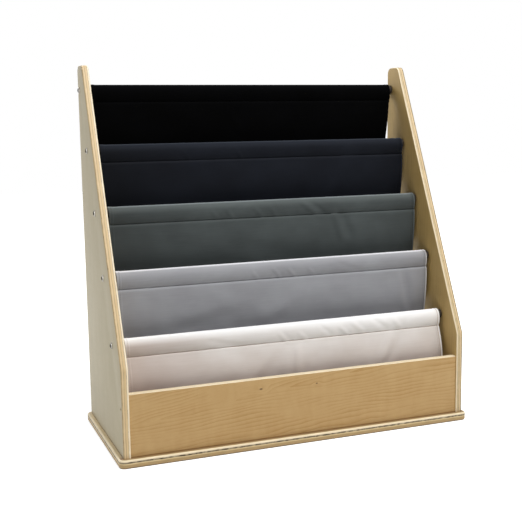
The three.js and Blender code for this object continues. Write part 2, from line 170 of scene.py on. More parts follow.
def make_floor():
    """A square plane at the height on which the shelf stands."""
    half = FLOOR_SIDE / 2
    corners = [(-half, -half, 0), (half, -half, 0), (half, half, 0), (-half, half, 0)]
    mesh = bpy.data.meshes.new("floor")
    mesh.from_pydata(corners, [], [(0, 1, 2, 3)])
    material, node = new_material("matt_white_floor_paint")
    away = node(VECTOR_MATH, {0: node("ShaderNodeTexCoord").outputs["Object"]}, operation="LENGTH")
    rise = node(MAP_RANGE, {"Value": away, "From Min": GLOW_RISE[0], "From Max": GLOW_RISE[1],
                            "To Min": FLOOR_GLOW[0], "To Max": FLOOR_GLOW[1]})
    glow = node(MATH, {0: white_to_the_eye(node), 1: rise}, operation="MULTIPLY")
    paint = node("ShaderNodeBsdfDiffuse", {"Color": linear(FLOOR_COLOUR)})
    light = node("ShaderNodeEmission", {"Color": linear("#ffffff"), "Strength": glow})
    node("ShaderNodeOutputMaterial", {"Surface": node("ShaderNodeAddShader", {0: paint, 1: light})})
    mesh.materials.append(material)
    floor = bpy.data.objects.new("floor", mesh)
    bpy.context.scene.collection.objects.link(floor)


make_floor()
print("floor:", FLOOR_SIDE, "m square")


# %% World
def make_world():
    """Plain white to the eye, and a plain grey light on everything else."""
    world = bpy.data.worlds.new("white_sweep")
    world.use_nodes = True
    world.node_tree.nodes.clear()
    node = partial(add, world.node_tree)
    strength = node(MAP_RANGE, {"Value": white_to_the_eye(node), "To Min": WORLD_STRENGTH, "To Max": 1.0})
    sky = node("ShaderNodeBackground", {"Color": linear("#ffffff"), "Strength": strength})
    node("ShaderNodeOutputWorld", {"Surface": sky})
    bpy.context.scene.world = world


make_world()
print("world:", bpy.context.scene.world.name)


# %% Lamps
def add_lamp(name, place, height, side, power):
    """A square soft lamp at place, turned to a point of the given height on the shelf's upright axis."""
    data = bpy.data.lights.new(name, "AREA")
    data.size = side
    data.energy = power
    lamp = bpy.data.objects.new(name, data)
    lamp.location = place
    lamp.rotation_euler = (Vector((0, 0, height)) - Vector(place)).to_track_quat("-Z", "Y").to_euler()
    bpy.context.scene.collection.objects.link(lamp)


for lamp_values in LAMPS:
    add_lamp(*lamp_values)
scene = bpy.context.scene
scene.view_settings.view_transform = "Standard"

# %% [markdown]
# ## Plywood
#
# Plywood is a stack of thin sheets, so its finish is a solid one: what shows at a point depends on how deep
# it lies in the board. On a face that is the veneer, with grain lines that are slices through the year
# rings. On a sawn edge the sheets show in turn, pale or tan, with a thin dark glue line and now and then a
# small gap between them. One material does both. A Mapping node turns each board's own directions to x
# along the grain, y across it and z through the thickness, in millimetres.

# %% Plywood sizes
FACE_SHEET = 0.35  # mm, how deep the veneer's own colour goes before the edge colours start
RING_SPACING = 8.0  # mm, between grain lines on a face
RING_TIP = 2.0  # mm, how round the tip of a V in the grain is
RING_SHARPNESS = 2.4  # power that lets a grain line rise softly and end at once
WANDERS = (  # how grain lines wander: a noise's blobs in mm along, across and through, and its range in mm
    ((260, 60, 60), 44.0),
    ((46, 17, 17), 44.0 / 12),
)
PATCH_SIZE, PATCH_RISE = (150, 26, 26), (0.35, 0.62)  # mm, and of their noise, where grain lines are strong
PORE_SIZE = (9.0, 0.7, 3.0)  # mm, about three times as wide as in birch, to show
CLOUD_SIZE = (75.0, 75.0, 75.0)  # mm, soft lighter and darker places
MOTTLE_SIZE = (17.0, 48.0, 17.0)  # mm, the faint bars across the grain
LINE_SHARE, PORE_SHARE, CLOUD_SHARE, MOTTLE_SHARE = 0.50, 0.36, 0.34, 0.30  # of the face's figure
FIGURE_MEAN = 0.55  # what the four parts, each times its share, come to on average
KNOT_PUSH = (9, 3)  # in sizes of the knot: how far out it turns grain lines aside, and by how much
KNOT_FADE = (0.5, 1.5)  # in sizes of the knot, where its dark starts to fade and where it ends
KNOT_DARK = 0.9  # how much of its own colour a knot has in its middle
CORNER_SHADE_FADE, CORNER_SHADE_STRENGTH = 0.3, 0.8  # of its reach, where a corner's painted shade starts to fade, and its strength
STREAK_SIZE, STREAK_RISE = (34.0, 34.0, 0.5), (0.4, 0.72)  # mm, and of their noise: fibres on a sawn edge
STREAK_SHARE = 0.5
WAVER_SIZE = (30, 30, 30)  # mm
WAVER = 1.1  # mm, the range by which sheets and glue lines stray from their depth
BREAK_SIZE, BREAK_RISE = (13, 13, 13), (0.38, 0.6)  # mm, and of their noise: a glue line from faint to full
FAINT = 0.5  # of a glue line's strength, where it is faintest
GAP_SIZE, GAP_RISE = (8, 8, 2), (0.66, 0.7)  # mm, and of their noise: places where a glue line is open
PORE_DEPTH = 0.12  # mm
RING_RELIEF = 0.3  # of a pore's depth, how far late wood stands up under the lacquer
LACQUER_ROUGHNESS = (0.42, 0.62)  # over the wood and over its pores
STREAK_COLOUR = "#b3925f"
GLUE_COLOUR = "#3d2a15"
GAP_COLOUR = "#20160c"
KNOT_COLOUR = "#4a3017"
CORNER_SHADE_COLOUR = "#6e4c26"  # painted shade where one board stands on another
NO_LINE = "#000000"
print("plywood: veneer", FACE_SHEET, "mm deep, grain lines", RING_SPACING, "mm apart")

# %% Places in a board
UP, RIGHT, BACK, FORWARD = (0, 0, 1), (1, 0, 0), (0, 1, 0), (0, -1, 0)


def through(board, along, across):
    """The way through a board, and where on it, in mm, the board starts and ends."""
    low, high = (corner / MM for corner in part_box(board))
    way = Vector(along).cross(Vector(across))
    start, end = sorted((low.dot(way), high.dot(way)))
    return way, start, end


class Board:
    """A board's material in the making: its nodes, and places in mm along its grain, across and through."""

    def __init__(self, name, board, along, across):
        self.material, self.node = new_material(name)
        way, start, end = through(board, along, across)
        self.thickness = end - start
        self.in_mm = self.node(MAPPING, {
            "Vector": self.node("ShaderNodeTexCoord").outputs["Object"], "Location": (0, 0, -start),
            "Rotation": Matrix((along, across, way)).to_euler(), "Scale": (1 / MM, 1 / MM, 1 / MM)})
        self.run, self.rise, self.depth = self.node("ShaderNodeSeparateXYZ", {0: self.in_mm}).outputs

    def noise(self, size, detail=2.0):
        """Noise whose blobs have the given size in mm along, across and through the board."""
        scaled = self.node(MAPPING, {"Vector": self.in_mm, "Scale": [1 / length for length in size]})
        return self.node(NOISE, {"Vector": scaled, "Scale": 1.0, "Detail": detail})


print("way through the left side, its start and its end in mm:", through("side_panel_left", UP, FORWARD))


# %% Grain lines and knots
def grain_lines(board, apex, slopes, knots):
    """How strong the grain line at a point is, 0 to 1, and each knot's distance and size.

    Grain lines lie where sqrt(rise^2 + tip^2) - taper * run, plus a wandering noise, passes a whole number
    of ring spacings. run and rise are measured from the apex of the V, and rise from a line with the tilt.
    """
    node = board.node
    tilt, taper = slopes
    run = node(MATH, {0: board.run, 1: apex[0]}, operation="SUBTRACT")
    level = node(MATH, {0: run, 1: tilt, 2: apex[1]}, operation="MULTIPLY_ADD")
    rise = node(MATH, {0: board.rise, 1: level}, operation="SUBTRACT")
    squared = node(MATH, {0: rise, 1: rise, 2: RING_TIP**2}, operation="MULTIPLY_ADD")
    opened = node(MATH, {0: squared}, operation="SQRT")
    lines = node(MATH, {0: run, 1: -taper, 2: opened}, operation="MULTIPLY_ADD")
    for size, wander in WANDERS:
        lines = node(MATH, {0: board.noise(size), 1: wander, 2: lines}, operation="MULTIPLY_ADD")
    knot_distances = []
    for knot_along, knot_across, size in knots:
        stretched = node(MAPPING, {"Vector": board.in_mm, "Location": (-knot_along, -2 * knot_across, 0),
                                   "Scale": (1, 2, 0)})
        distance = node(VECTOR_MATH, {0: stretched}, operation="LENGTH")
        knot_distances.append((distance, size))
        push = node(MAP_RANGE, {"Value": distance, "From Min": 0, "From Max": KNOT_PUSH[0] * size,
                                "To Min": KNOT_PUSH[1] * size, "To Max": 0}, interpolation_type="SMOOTHSTEP")
        lines = node(MATH, {0: push, 1: lines}, operation="ADD")
    turns = node(MATH, {0: lines, 1: RING_SPACING}, operation="DIVIDE")
    phase = node(MATH, {0: turns}, operation="FRACT")
    late_wood = node(MATH, {0: phase, 1: RING_SHARPNESS}, operation="POWER")
    strength = node(MAP_RANGE, {"Value": board.noise(PATCH_SIZE), "From Min": PATCH_RISE[0],
                                "From Max": PATCH_RISE[1]})
    return node(MATH, {0: late_wood, 1: strength}, operation="MULTIPLY"), knot_distances


print("grain lines wander over", [wander for size, wander in WANDERS], "mm")


# %% Face of a board
def face_colour(board, late_wood, pores, faces, contrast, corner_shade, knot_distances):
    """Tone of a face from grain lines, pores, clouds and mottle, its knots and its painted corner shade."""
    node = board.node
    clouds = board.noise(CLOUD_SIZE, 3.0)
    mottle = board.noise(MOTTLE_SIZE)
    figure = 0.5 - FIGURE_MEAN * contrast
    for part, share in ((late_wood, LINE_SHARE), (pores, PORE_SHARE), (clouds, CLOUD_SHARE),
                        (mottle, MOTTLE_SHARE)):
        figure = node(MATH, {0: part, 1: share * contrast, 2: figure}, operation="MULTIPLY_ADD")
    tones = [node(MIX, {"Factor": figure, FROM: linear(light), TO: linear(dark)}, data_type="RGBA")
             for light, dark in faces]
    half_way = node(MATH, {0: board.depth, 1: board.thickness / 2}, operation="GREATER_THAN")
    face = node(MIX, {"Factor": half_way, FROM: tones[0], TO: tones[1]}, data_type="RGBA")
    for distance, size in knot_distances:
        start, end = (share * size for share in KNOT_FADE)
        dark = node(MAP_RANGE, {"Value": distance, "From Min": start, "From Max": end, "To Min": KNOT_DARK,
                                "To Max": 0}, interpolation_type="SMOOTHSTEP")
        face = node(MIX, {"Factor": dark, FROM: face, TO: linear(KNOT_COLOUR)}, data_type="RGBA")
    # Painted shade: the face darkens towards the corner where another board meets it.
    which, joint_place, reach = corner_shade
    past = node(MATH, {0: (board.run, board.rise)[which], 1: joint_place}, operation="SUBTRACT")
    away = node(MATH, {0: past}, operation="ABSOLUTE")
    corner = node(MAP_RANGE, {"Value": away, "From Min": CORNER_SHADE_FADE * reach, "From Max": reach,
                              "To Min": CORNER_SHADE_STRENGTH, "To Max": 0})
    return node(MIX, {"Factor": corner, FROM: face, TO: linear(CORNER_SHADE_COLOUR)}, data_type="RGBA")


print("knots darken to", KNOT_COLOUR, "and corners to", CORNER_SHADE_COLOUR)


# %% Edge of a board
def glue_lines(places):
    """Stops for bright lines on black, each full over its half width and fading over as much again."""
    stops = []
    for place, tone, half_width in places:
        stops += [(place - 2 * half_width, NO_LINE), (place - half_width, tone), (place + half_width, tone),
                  (place + 2 * half_width, NO_LINE)]
    return stops


def edge_colour(board, sheets, glue):
    """Tone of a sawn edge: its sheets with their fibres, the glue lines between them, and gaps in these."""
    node = board.node
    waver = node(MATH, {0: board.noise(WAVER_SIZE), 1: WAVER, 2: board.depth}, operation="MULTIPLY_ADD")
    share = node(MATH, {0: waver, 1: 1 / board.thickness, 2: -WAVER / 2 / board.thickness},
                 operation="MULTIPLY_ADD")
    edge = node("ShaderNodeValToRGB", {0: share}, stops=sheets)
    line = node("ShaderNodeValToRGB", {0: share}, stops=glue_lines(glue))
    streaks = node(MAP_RANGE, {"Value": board.noise(STREAK_SIZE, 3.0), "From Min": STREAK_RISE[0],
                               "From Max": STREAK_RISE[1], "To Max": STREAK_SHARE})
    broken = node(MAP_RANGE, {"Value": board.noise(BREAK_SIZE, 3.0), "From Min": BREAK_RISE[0],
                              "From Max": BREAK_RISE[1], "To Min": FAINT})
    gaps = node(MAP_RANGE, {"Value": board.noise(GAP_SIZE, 1.0), "From Min": GAP_RISE[0],
                            "From Max": GAP_RISE[1]})
    line_strength = node(MATH, {0: line, 1: broken}, operation="MULTIPLY")
    gap = node(MATH, {0: gaps, 1: line}, operation="MULTIPLY")
    for strength, tint in ((streaks, STREAK_COLOUR), (line_strength, GLUE_COLOUR), (gap, GAP_COLOUR)):
        edge = node(MIX, {"Factor": strength, FROM: edge, TO: linear(tint)}, data_type="RGBA")
    return edge


print("stops of one glue line:", glue_lines([(0.5, "#ffffff", 0.03)]))


# %% Plywood material
def plywood(name, board, along, across, faces, sheets, glue, apex, slopes, contrast, corner_shade, knots=()):
    """Rotary-cut birch veneer on a plywood core, sanded and coated with a clear satin lacquer.

    along and across are the board's own directions, and faces its two veneers, each a light and a dark tone.
    sheets is a ramp of colours over the share of the thickness, and glue its lines: share, tone, half width.
    joint says where another board meets this face: along (0) or across (1), the place, and how far the shade
    of the corner reaches. A knot is its place along and across, and its size. Places are in mm. apex and
    slopes (tilt, taper) shape the grain lines, and contrast says how strongly the face is figured.
    """
    made = Board(name, board, along, across)
    node = made.node
    late_wood, knot_distances = grain_lines(made, apex, slopes, knots)
    pores = made.noise(PORE_SIZE)
    face = face_colour(made, late_wood, pores, faces, contrast, corner_shade, knot_distances)
    edge = edge_colour(made, sheets, glue)

    # The face within a veneer's depth of either side, and the edge between
    folded = node(MATH, {0: made.depth, 1: made.thickness / 2}, operation="PINGPONG")
    on_edge = node(MAP_RANGE, {"Value": folded, "From Min": 0.5 * FACE_SHEET, "From Max": FACE_SHEET})
    colour = node(MIX, {"Factor": on_edge, FROM: face, TO: edge}, data_type="RGBA")
    height = node(MATH, {0: late_wood, 1: RING_RELIEF, 2: pores}, operation="MULTIPLY_ADD")
    bump = node("ShaderNodeBump", {"Height": height, "Strength": 0.25, "Distance": PORE_DEPTH * MM})
    rough = node(MAP_RANGE, {"Value": pores, "To Min": LACQUER_ROUGHNESS[0], "To Max": LACQUER_ROUGHNESS[1]})
    shader = node("ShaderNodeBsdfPrincipled", {
        "Base Color": colour, "Roughness": rough, "Normal": bump, "IOR": 1.5, "Specular IOR Level": 0.4})
    node("ShaderNodeOutputMaterial", {"Surface": shader})
    return made.material


print("face colours reach", FACE_SHEET, "mm deep, and the pores", PORE_DEPTH, "mm")

# %% [markdown]
# ### The four boards
#
# Each board has its own lay-up, as boards cut from different panels do. The two sides are coloured paler
# and greyer on their outside faces than on their inside ones, and their grain stands upright. The front's
# grain lies along it, with a V shape and two small knots near its top edge. The base's edge has one strong
# dark line under a thick pale sheet.

# %% Plywood on the boards
SIDE_OUTSIDE = ("#b9ae93", "#a19678")
SIDE_INSIDE = ("#ccaf73", "#ac8d53")
FRONT_FACE = ("#c9a977", "#ac864f")
BASE_FACE = ("#d3c094", "#b99f6d")
CREAM, PEACH, TAN, GREY_TAN = "#f2e4c4", "#dfc79d", "#c9ae82", "#9c8d6d"
# Each board gets a band of painted shade along the corner where another board meets its face.
BOARDS = {
    "side_panel_left": dict(
        name="lacquered_birch_plywood_left_side",
        along=UP, across=FORWARD, faces=(SIDE_OUTSIDE, SIDE_INSIDE),
        sheets=[(0.0, TAN), (0.07, TAN), (0.1, PEACH), (0.36, PEACH), (0.38, "#d6bb8e"), (0.74, PEACH),
                (0.79, "#fff3d8"), (1.0, "#fff3d8")],
        glue=[(0.09, "#bbbbbb", 0.03), (0.4, "#999999", 0.025), (0.76, "#bbbbbb", 0.025)],
        apex=(420.0, 250.0), slopes=(0.0, 0.02), contrast=0.8, corner_shade=(0, 18.0, 3.0)),
    "side_panel_right": dict(
        name="lacquered_birch_plywood_right_side",
        along=UP, across=FORWARD, faces=(SIDE_INSIDE, SIDE_OUTSIDE),
        sheets=[(0.0, CREAM), (0.2, CREAM), (0.27, "#d6bf95"), (0.46, "#d6bf95"), (0.51, PEACH), (0.8, PEACH),
                (0.84, GREY_TAN), (1.0, GREY_TAN)],
        glue=[(0.25, "#aaaaaa", 0.03), (0.5, "#cccccc", 0.03), (0.82, "#bbbbbb", 0.03)],
        apex=(300.0, -210.0), slopes=(0.0, 0.02), contrast=0.8, corner_shade=(0, 18.0, 3.0)),
    "front_panel": dict(
        name="lacquered_birch_plywood_front",
        along=RIGHT, across=UP, faces=(FRONT_FACE, FRONT_FACE), sheets=[(0.0, CREAM), (1.0, CREAM)],
        glue=[(0.3, "#444444", 0.02), (0.68, "#444444", 0.02)],
        apex=(-131.0, 108.0), slopes=(0.12, 0.06), contrast=1.15, corner_shade=(1, 18.0, 2.2),
        knots=((-93.0, 124.0, 3.2), (31.0, 122.0, 2.2))),
    "base_panel": dict(
        name="lacquered_birch_plywood_base",
        along=RIGHT, across=BACK, faces=(BASE_FACE, BASE_FACE),
        # The two darkest stops, at the bottom of the edge, are painted shade where the eased lower arris
        # turns under.
        sheets=[(0.0, "#352a1b"), (0.11, "#57452d"), (0.18, "#b09569"), (0.47, "#b89d70"), (0.53, "#e0cc9f"),
                (0.62, "#e0cc9f"), (0.75, CREAM), (1.0, CREAM)],
        glue=[(0.35, "#555555", 0.02), (0.7, "#ffffff", 0.058)],
        apex=(-500.0, -40.0), slopes=(0.02, 0.05), contrast=0.8, corner_shade=(1, -158.0, 14.0)),
}
boards = {board: plywood(board=board, **lay_up) for board, lay_up in BOARDS.items()}
print("plywood:", [material.name for material in boards.values()])

# %% [markdown]
# ## Smooth shading on the boards and fittings
#
# The frame's pieces are exact solids made of flat triangles. One small node group welds each piece's
# triangles and shades it smooth, except where two faces meet at a clear corner. It also notes how far each
# point lies from the piece's own long axis, which the fittings' finish reads. The pieces themselves stay as
# they are.

# %% A modifier that shades by angle
SMOOTH_ANGLE = math.radians(32)
WELD_DISTANCE = 0.01 * MM


def smooth_by_angle_group():
    """Geometry nodes: weld, smooth all but sharp edges, store (point - middle) x axis as from_axis."""
    tree = bpy.data.node_groups.new("smooth_by_angle", "GeometryNodeTree")
    tree.interface.new_socket("Geometry", in_out="INPUT", socket_type="NodeSocketGeometry")
    tree.interface.new_socket("Geometry", in_out="OUTPUT", socket_type="NodeSocketGeometry")
    node = partial(add, tree)
    outside = node("NodeGroupInput")
    weld = node("GeometryNodeMergeByDistance", {"Geometry": outside, "Distance": WELD_DISTANCE})
    box = node("GeometryNodeBoundBox", {"Geometry": weld})
    both = node(VECTOR_MATH, {0: box.outputs["Min"], 1: box.outputs["Max"]}, operation="ADD")
    middle = node(VECTOR_MATH, {0: both, "Scale": 0.5}, operation="SCALE")
    arm = node(VECTOR_MATH, {0: node("GeometryNodeInputPosition"), 1: middle}, operation="SUBTRACT")
    off_axis = node(VECTOR_MATH, {0: arm, 1: RIGHT}, operation="CROSS_PRODUCT")
    noted = node("GeometryNodeStoreNamedAttribute",
                 {"Geometry": weld, "Name": "from_axis", "Value": off_axis},
                 data_type="FLOAT_VECTOR", domain="POINT")
    sharp = node("FunctionNodeCompare", {0: node("GeometryNodeInputMeshEdgeAngle"), 1: SMOOTH_ANGLE},
                 operation="GREATER_THAN")
    flat = node("FunctionNodeBooleanMath", {0: sharp}, operation="NOT")
    faces = node("GeometryNodeSetShadeSmooth", {"Geometry": noted}, domain="FACE")
    edges = node("GeometryNodeSetShadeSmooth", {"Geometry": faces, "Shade Smooth": flat}, domain="EDGE")
    node("NodeGroupOutput", {0: edges})
    return tree


smooth_group = smooth_by_angle_group()


def finish_node(name, material):
    """Gives a piece of the frame its material and the smooth shading."""
    piece = nodes[name]
    piece.data.materials.clear()
    piece.data.materials.append(material)
    modifier = piece.modifiers.new("smooth_by_angle", "NODES")
    modifier.node_group = smooth_group


for name, material in boards.items():
    finish_node(name, material)
print("boards finished:", len(boards))

# %% [markdown]
# ## Dowels and fittings
#
# The dowels are turned birch rod, coloured dark brown so that the gaps beside the slings show painted shade,
# not pale wood. The bolts are steel with a bright zinc plating, which shows as a bright ring round a socket
# painted dark as shade. The screws have a yellow chromate on their zinc and a recess painted black as shade,
# and the threaded inserts in the dowels' ends are brass.

# %% Sizes in the fittings' finish
SOCKET_SHADE_EDGE = 3.7  # mm from the axis, out to which a bolt's head is painted dark as shade in and round its 4 mm socket
SCREW_SHADE_EDGE = 1.7  # mm from the axis, out to which a screw's head is painted dark as shade in its recess
# Painted shade in the bolts' sockets and the screws' recesses.
RECESS_SHADE_COLOUR = "#0c0c0c"
ROD_GRAIN = (40.0, 700.0, 700.0)  # in a metre, so that a fibre is about 25 mm long and 1.4 mm wide
DRIFT = 180.0  # in a metre, so that a plating's colour changes over about 6 mm
SCRATCHES = 2600.0  # in a metre, so that they lie about 0.4 mm apart
SCRATCHED = (-0.08, 0.1)  # how far they take the roughness down and up
RECESS_ROUGHNESS = 0.9
RECESS_SHADE_FADE = 1.3  # of its edge's distance from the axis, where a recess's painted shade ends
print("recesses: sockets", 2 * SOCKET_SHADE_EDGE, "mm wide, screws", 2 * SCREW_SHADE_EDGE, "mm")


# %% Dowel wood
def turned_birch():
    """Turned birch rod, sanded, coloured dark as painted shade: fine grain lines along it, soft and dull."""
    material, node = new_material("turned_birch_rod_dark_as_shade")
    place = node("ShaderNodeTexCoord").outputs["Object"]
    lengthened = node(MAPPING, {"Vector": place, "Scale": ROD_GRAIN})
    grain = node(NOISE, {"Vector": lengthened, "Scale": 1.0, "Detail": 3.0})
    # The dark tones are painted shade for the gaps between the slings' ends and the sides.
    tone = node("ShaderNodeValToRGB", {0: grain}, stops=[(0.3, "#33291f"), (0.7, "#221a13")])
    bump = node("ShaderNodeBump", {"Height": grain, "Strength": 0.3, "Distance": 0.1 * MM})
    shader = node("ShaderNodeBsdfPrincipled", {"Base Color": tone, "Roughness": 0.62, "Normal": bump})
    node("ShaderNodeOutputMaterial", {"Surface": shader})
    return material


rod = turned_birch()
print("dowels:", rod.name)


# %% Metals
def plated_metal(name, colours, roughness, shade_edge):
    """A plated or turned metal: its colour drifts a little, and fine scratches scatter its shine.

    Nearer its axis than the given edge it is painted dark, as shade in and round its recess, and dull.
    """
    material, node = new_material(name)
    place = node("ShaderNodeTexCoord").outputs["Object"]
    drift = node(NOISE, {"Vector": place, "Scale": DRIFT, "Detail": 2.0})
    scratch = node(NOISE, {"Vector": place, "Scale": SCRATCHES, "Detail": 3.0})
    tone = node("ShaderNodeValToRGB", {0: drift}, stops=[(0.35, colours[0]), (0.65, colours[1])])
    from_axis = node("ShaderNodeAttribute", attribute_name="from_axis").outputs["Vector"]
    distance = node(VECTOR_MATH, {0: from_axis}, operation="LENGTH")
    outside = node(MAP_RANGE, {"Value": distance, "From Min": shade_edge * MM,
                                "From Max": RECESS_SHADE_FADE * shade_edge * MM})
    colour = node(MIX, {"Factor": outside, FROM: linear(RECESS_SHADE_COLOUR), TO: tone}, data_type="RGBA")
    polished = node(MAP_RANGE, {"Value": scratch, "To Min": roughness + SCRATCHED[0],
                                "To Max": roughness + SCRATCHED[1]})
    rough = node(MAP_RANGE, {"Value": outside, "To Min": RECESS_ROUGHNESS, "To Max": polished})
    bump = node("ShaderNodeBump", {"Height": scratch, "Strength": 0.15, "Distance": 0.05 * MM})
    shader = node("ShaderNodeBsdfPrincipled", {
        "Base Color": colour, "Roughness": rough, "Normal": bump, "Metallic": 1.0})
    node("ShaderNodeOutputMaterial", {"Surface": shader})
    return material


zinc = plated_metal("bright_zinc_plated_steel", ("#a39f97", "#827f79"), 0.3, SOCKET_SHADE_EDGE)
chromate = plated_metal("yellow_chromated_zinc_steel", ("#b09a6a", "#927c4e"), 0.4, SCREW_SHADE_EDGE)
brass = plated_metal("turned_brass", ("#c9ad62", "#a88c48"), 0.35, SOCKET_SHADE_EDGE)
print("metals:", zinc.name, chromate.name, brass.name)

# %% Finish of dowels and fittings
FINISHES = (  # the first word that a node's name holds decides
    ("dowel_bolt", zinc, "zinc_steel"), ("screw", chromate, "zinc_steel"), ("insert", brass, "brass"),
    ("dowel", rod, "birch_dowel"))
for name in nodes:
    for word, material, slot in FINISHES:
        if word in name:
            finish_node(name, material)
            break
print("fittings and dowels finished:", sum(1 for n in nodes if "dowel" in n or "screw" in n))

# %% [markdown]
# ## The slings
#
# Each sling is one length of smooth woven polyester. Its top edge is folded back over the dowel and stitched
# down, which makes the casing. Below the stitches its face drops to the bottom of the pocket behind, turns
# up, and ends under the seam of the next casing. Its two side edges are folded in and stitched.
#
# A hung sheet like this is best made from its own section. The section is a line of points in the plane
# across the dowel, and the cloth is that line carried along the dowel. Everything else, such as sag,
# wrinkles and seams, is a small shift of the surface that depends on where along the section and along the
# dowel a point lies. All of it is worked out on whole arrays.

# %% Sling sizes
CLOTH = 1.1  # mm, thickness of the cloth
SLING_NAMES = sorted(n for n in nodes if n.startswith("sling_"))


def dowel_axis(name):
    """The middle of a dowel's box as (y, z) in mm."""
    low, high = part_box(name)
    return np.array([(low.y + high.y) / 2 / MM, (low.z + high.z) / 2 / MM])


DOWEL_AXES = [dowel_axis(f"dowel_{i + 1}") for i in range(len(SLING_NAMES))]
BOTTOM_AXIS = dowel_axis("bottom_dowel")
DOWEL_RADIUS = (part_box("bottom_dowel")[1].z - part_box("bottom_dowel")[0].z) / 2 / MM
HALF_WIDTH = 357.5  # mm, half the width of a hemmed sling, which leaves a little play on the dowel
SLID = (0.0, 2.0, 2.5, 1.0, 0.0)  # mm, how far each sling, from the top, has slid to the right on its dowel
STEP = DOWEL_AXES[1] - DOWEL_AXES[0]
WRAP = DOWEL_RADIUS + 0.8 + CLOTH / 2  # mm, from the dowel's axis to the middle of the cloth round it
SEAM = np.array([-9.2, -25.1])  # mm, the stitched line under the casing, from the dowel's axis as (y, z)
TUCKED_END = SEAM + np.array([2.5, -2.5])  # mm, the cloth's first edge, behind the seam
LIP = SEAM + np.array([-3.4, -5.2])  # mm, where the face stands out again under the seam
FRONT_TOP = STEP + SEAM + np.array([2.3 * CLOTH + 0.3, -3.2])  # mm, the pocket's end, behind the next seam
POCKET_DEPTH = 100.0  # mm, from the dowel's axis of the next sling down to the pocket's bottom
FACE_RETREAT = 6.5  # mm, how far the face goes back on its way down
FACE_BULGE = 2.5  # mm, how far the curve's second point draws the face to the front
LOWEST_BOW = 22.0  # mm, how far the curve's middle points draw the lowest face to the front
print("slings:", SLING_NAMES, "half width", round(HALF_WIDTH, 1), "mm, step", STEP.round(2))

# %% [markdown]
# ### The section
#
# The section is a chain of cubic Bezier curves and one arc. Such a curve leaves its first point towards the
# second and reaches the fourth from the third, so neighbours join smoothly where these lie on one line.

# %% Curves for the section
FINE = 40  # points in the shortest curve, and the others have a multiple of it


def bezier(a, b, c, d, count):
    """Points of a cubic Bezier curve: (1-t)^3 a + 3(1-t)^2 t b + 3(1-t) t^2 c + t^3 d."""
    t = np.linspace(0, 1, count)[:, None]
    a, b, c, d = (np.asarray(p, float) for p in (a, b, c, d))
    return (1 - t) ** 3 * a + 3 * (1 - t) ** 2 * t * b + 3 * (1 - t) * t**2 * c + t**3 * d


def joined(pieces):
    """One line of points from pieces that each start where the last one ended."""
    return np.concatenate([p if i == 0 else p[1:] for i, p in enumerate(pieces)])


def distance_along(points):
    """How far along the line each point lies, in mm."""
    steps = np.linalg.norm(np.diff(points, axis=0), axis=1)
    return np.concatenate([[0], np.cumsum(steps)])


WRAP_FROM, WRAP_TO = math.radians(-12), math.radians(138)  # from straight back, over the top


def casing_line():
    """The casing: up behind from the tucked end, over the dowel, and down in front to the seam."""
    angle = np.linspace(WRAP_FROM, WRAP_TO, 4 * FINE)
    over = WRAP * np.stack([np.cos(angle), np.sin(angle)], axis=1)
    above_tuck, below_dowel = TUCKED_END + np.array([0.2, 7]), (WRAP * 1.05, -16)
    behind = bezier(TUCKED_END, above_tuck, below_dowel, over[0], 3 * FINE)
    tangent = np.array([-math.sin(WRAP_TO), math.cos(WRAP_TO)])
    off_dowel, above_seam = over[-1] + 9 * tangent, SEAM + np.array([-6.2, 12])
    front = bezier(over[-1], off_dowel, above_seam, SEAM, 4 * FINE)
    return joined([behind, over, front])


section = casing_line()
height, front_place = section[:, 1].max() - SEAM[1], section[:, 0].min()
print("casing: height", round(height, 1), "mm, front at", round(front_place, 1))


# %% Whole sections of a sling
def turn_out():
    """From the seam out and down to the lip."""
    past_seam, above_lip = SEAM + np.array([-0.9, -0.6]), LIP + np.array([0, 2.4])
    return bezier(SEAM, past_seam, above_lip, LIP, FINE)


def pocket_section():
    """Casing, face, bottom and front wall of a pocket sling, and where along it the seam lies."""
    level = STEP[1] - POCKET_DEPTH
    face_foot = np.array([LIP[0] + FACE_RETREAT, SEAM[1] + STEP[1]])
    bottom = np.array([(face_foot[0] + FRONT_TOP[0]) / 2, level])
    casing = casing_line()
    straight_down = np.array([0, STEP[1]])
    below_lip = LIP + 0.5 * straight_down + np.array([-FACE_BULGE, 0])
    face = bezier(LIP, below_lip, face_foot - 0.3 * straight_down, face_foot, 9 * FINE)
    back = bezier(face_foot, (face_foot[0], (face_foot[1] + level) / 2),
                  ((bottom[0] + face_foot[0]) / 2, level), bottom, 6 * FINE)
    front = bezier(bottom, ((bottom[0] + FRONT_TOP[0]) / 2, level),
                   (FRONT_TOP[0], (FRONT_TOP[1] + level) / 2), FRONT_TOP, 6 * FINE)
    return joined([casing, turn_out(), face, back, front]), [len(casing) - 1]


def lowest_section():
    """Casing, bowed face and lower casing of the lowest sling, and where along it both seams lie."""
    shift = BOTTOM_AXIS - DOWEL_AXES[-1]
    casing = casing_line()
    lower = (casing * np.array([1.0, -1.0]))[::-1] + shift
    foot = lower[0]
    third = np.array([0, (foot[1] - LIP[1]) / 3])
    bow = np.array([-LOWEST_BOW, 0])
    below_lip, above_foot = LIP + 1.3 * third + 0.95 * bow, foot - third + 1.3 * bow
    face = bezier(LIP, below_lip, above_foot, foot, 9 * FINE)
    line = joined([casing, turn_out(), face, lower])
    return line, [len(casing) - 1, len(line) - len(lower)]


pocket_points = pocket_section()[0]
print("pocket section:", len(pocket_points), "points, lowest", round(pocket_points[:, 1].min(), 1), "mm")

# %% [markdown]
# ### Soft shapes in numbers
#
# Cloth that hangs from a stiff rod keeps small diagonal puckers where its casing is stitched, soft waves on
# its face, and a fold or two where it was packed. Waves are a sum of a few sines with a seeded random
# turn and phase. A crease is a ridge with a shallow valley on each side. Each is given in
# millimetres on the cloth, where the photograph shows one.

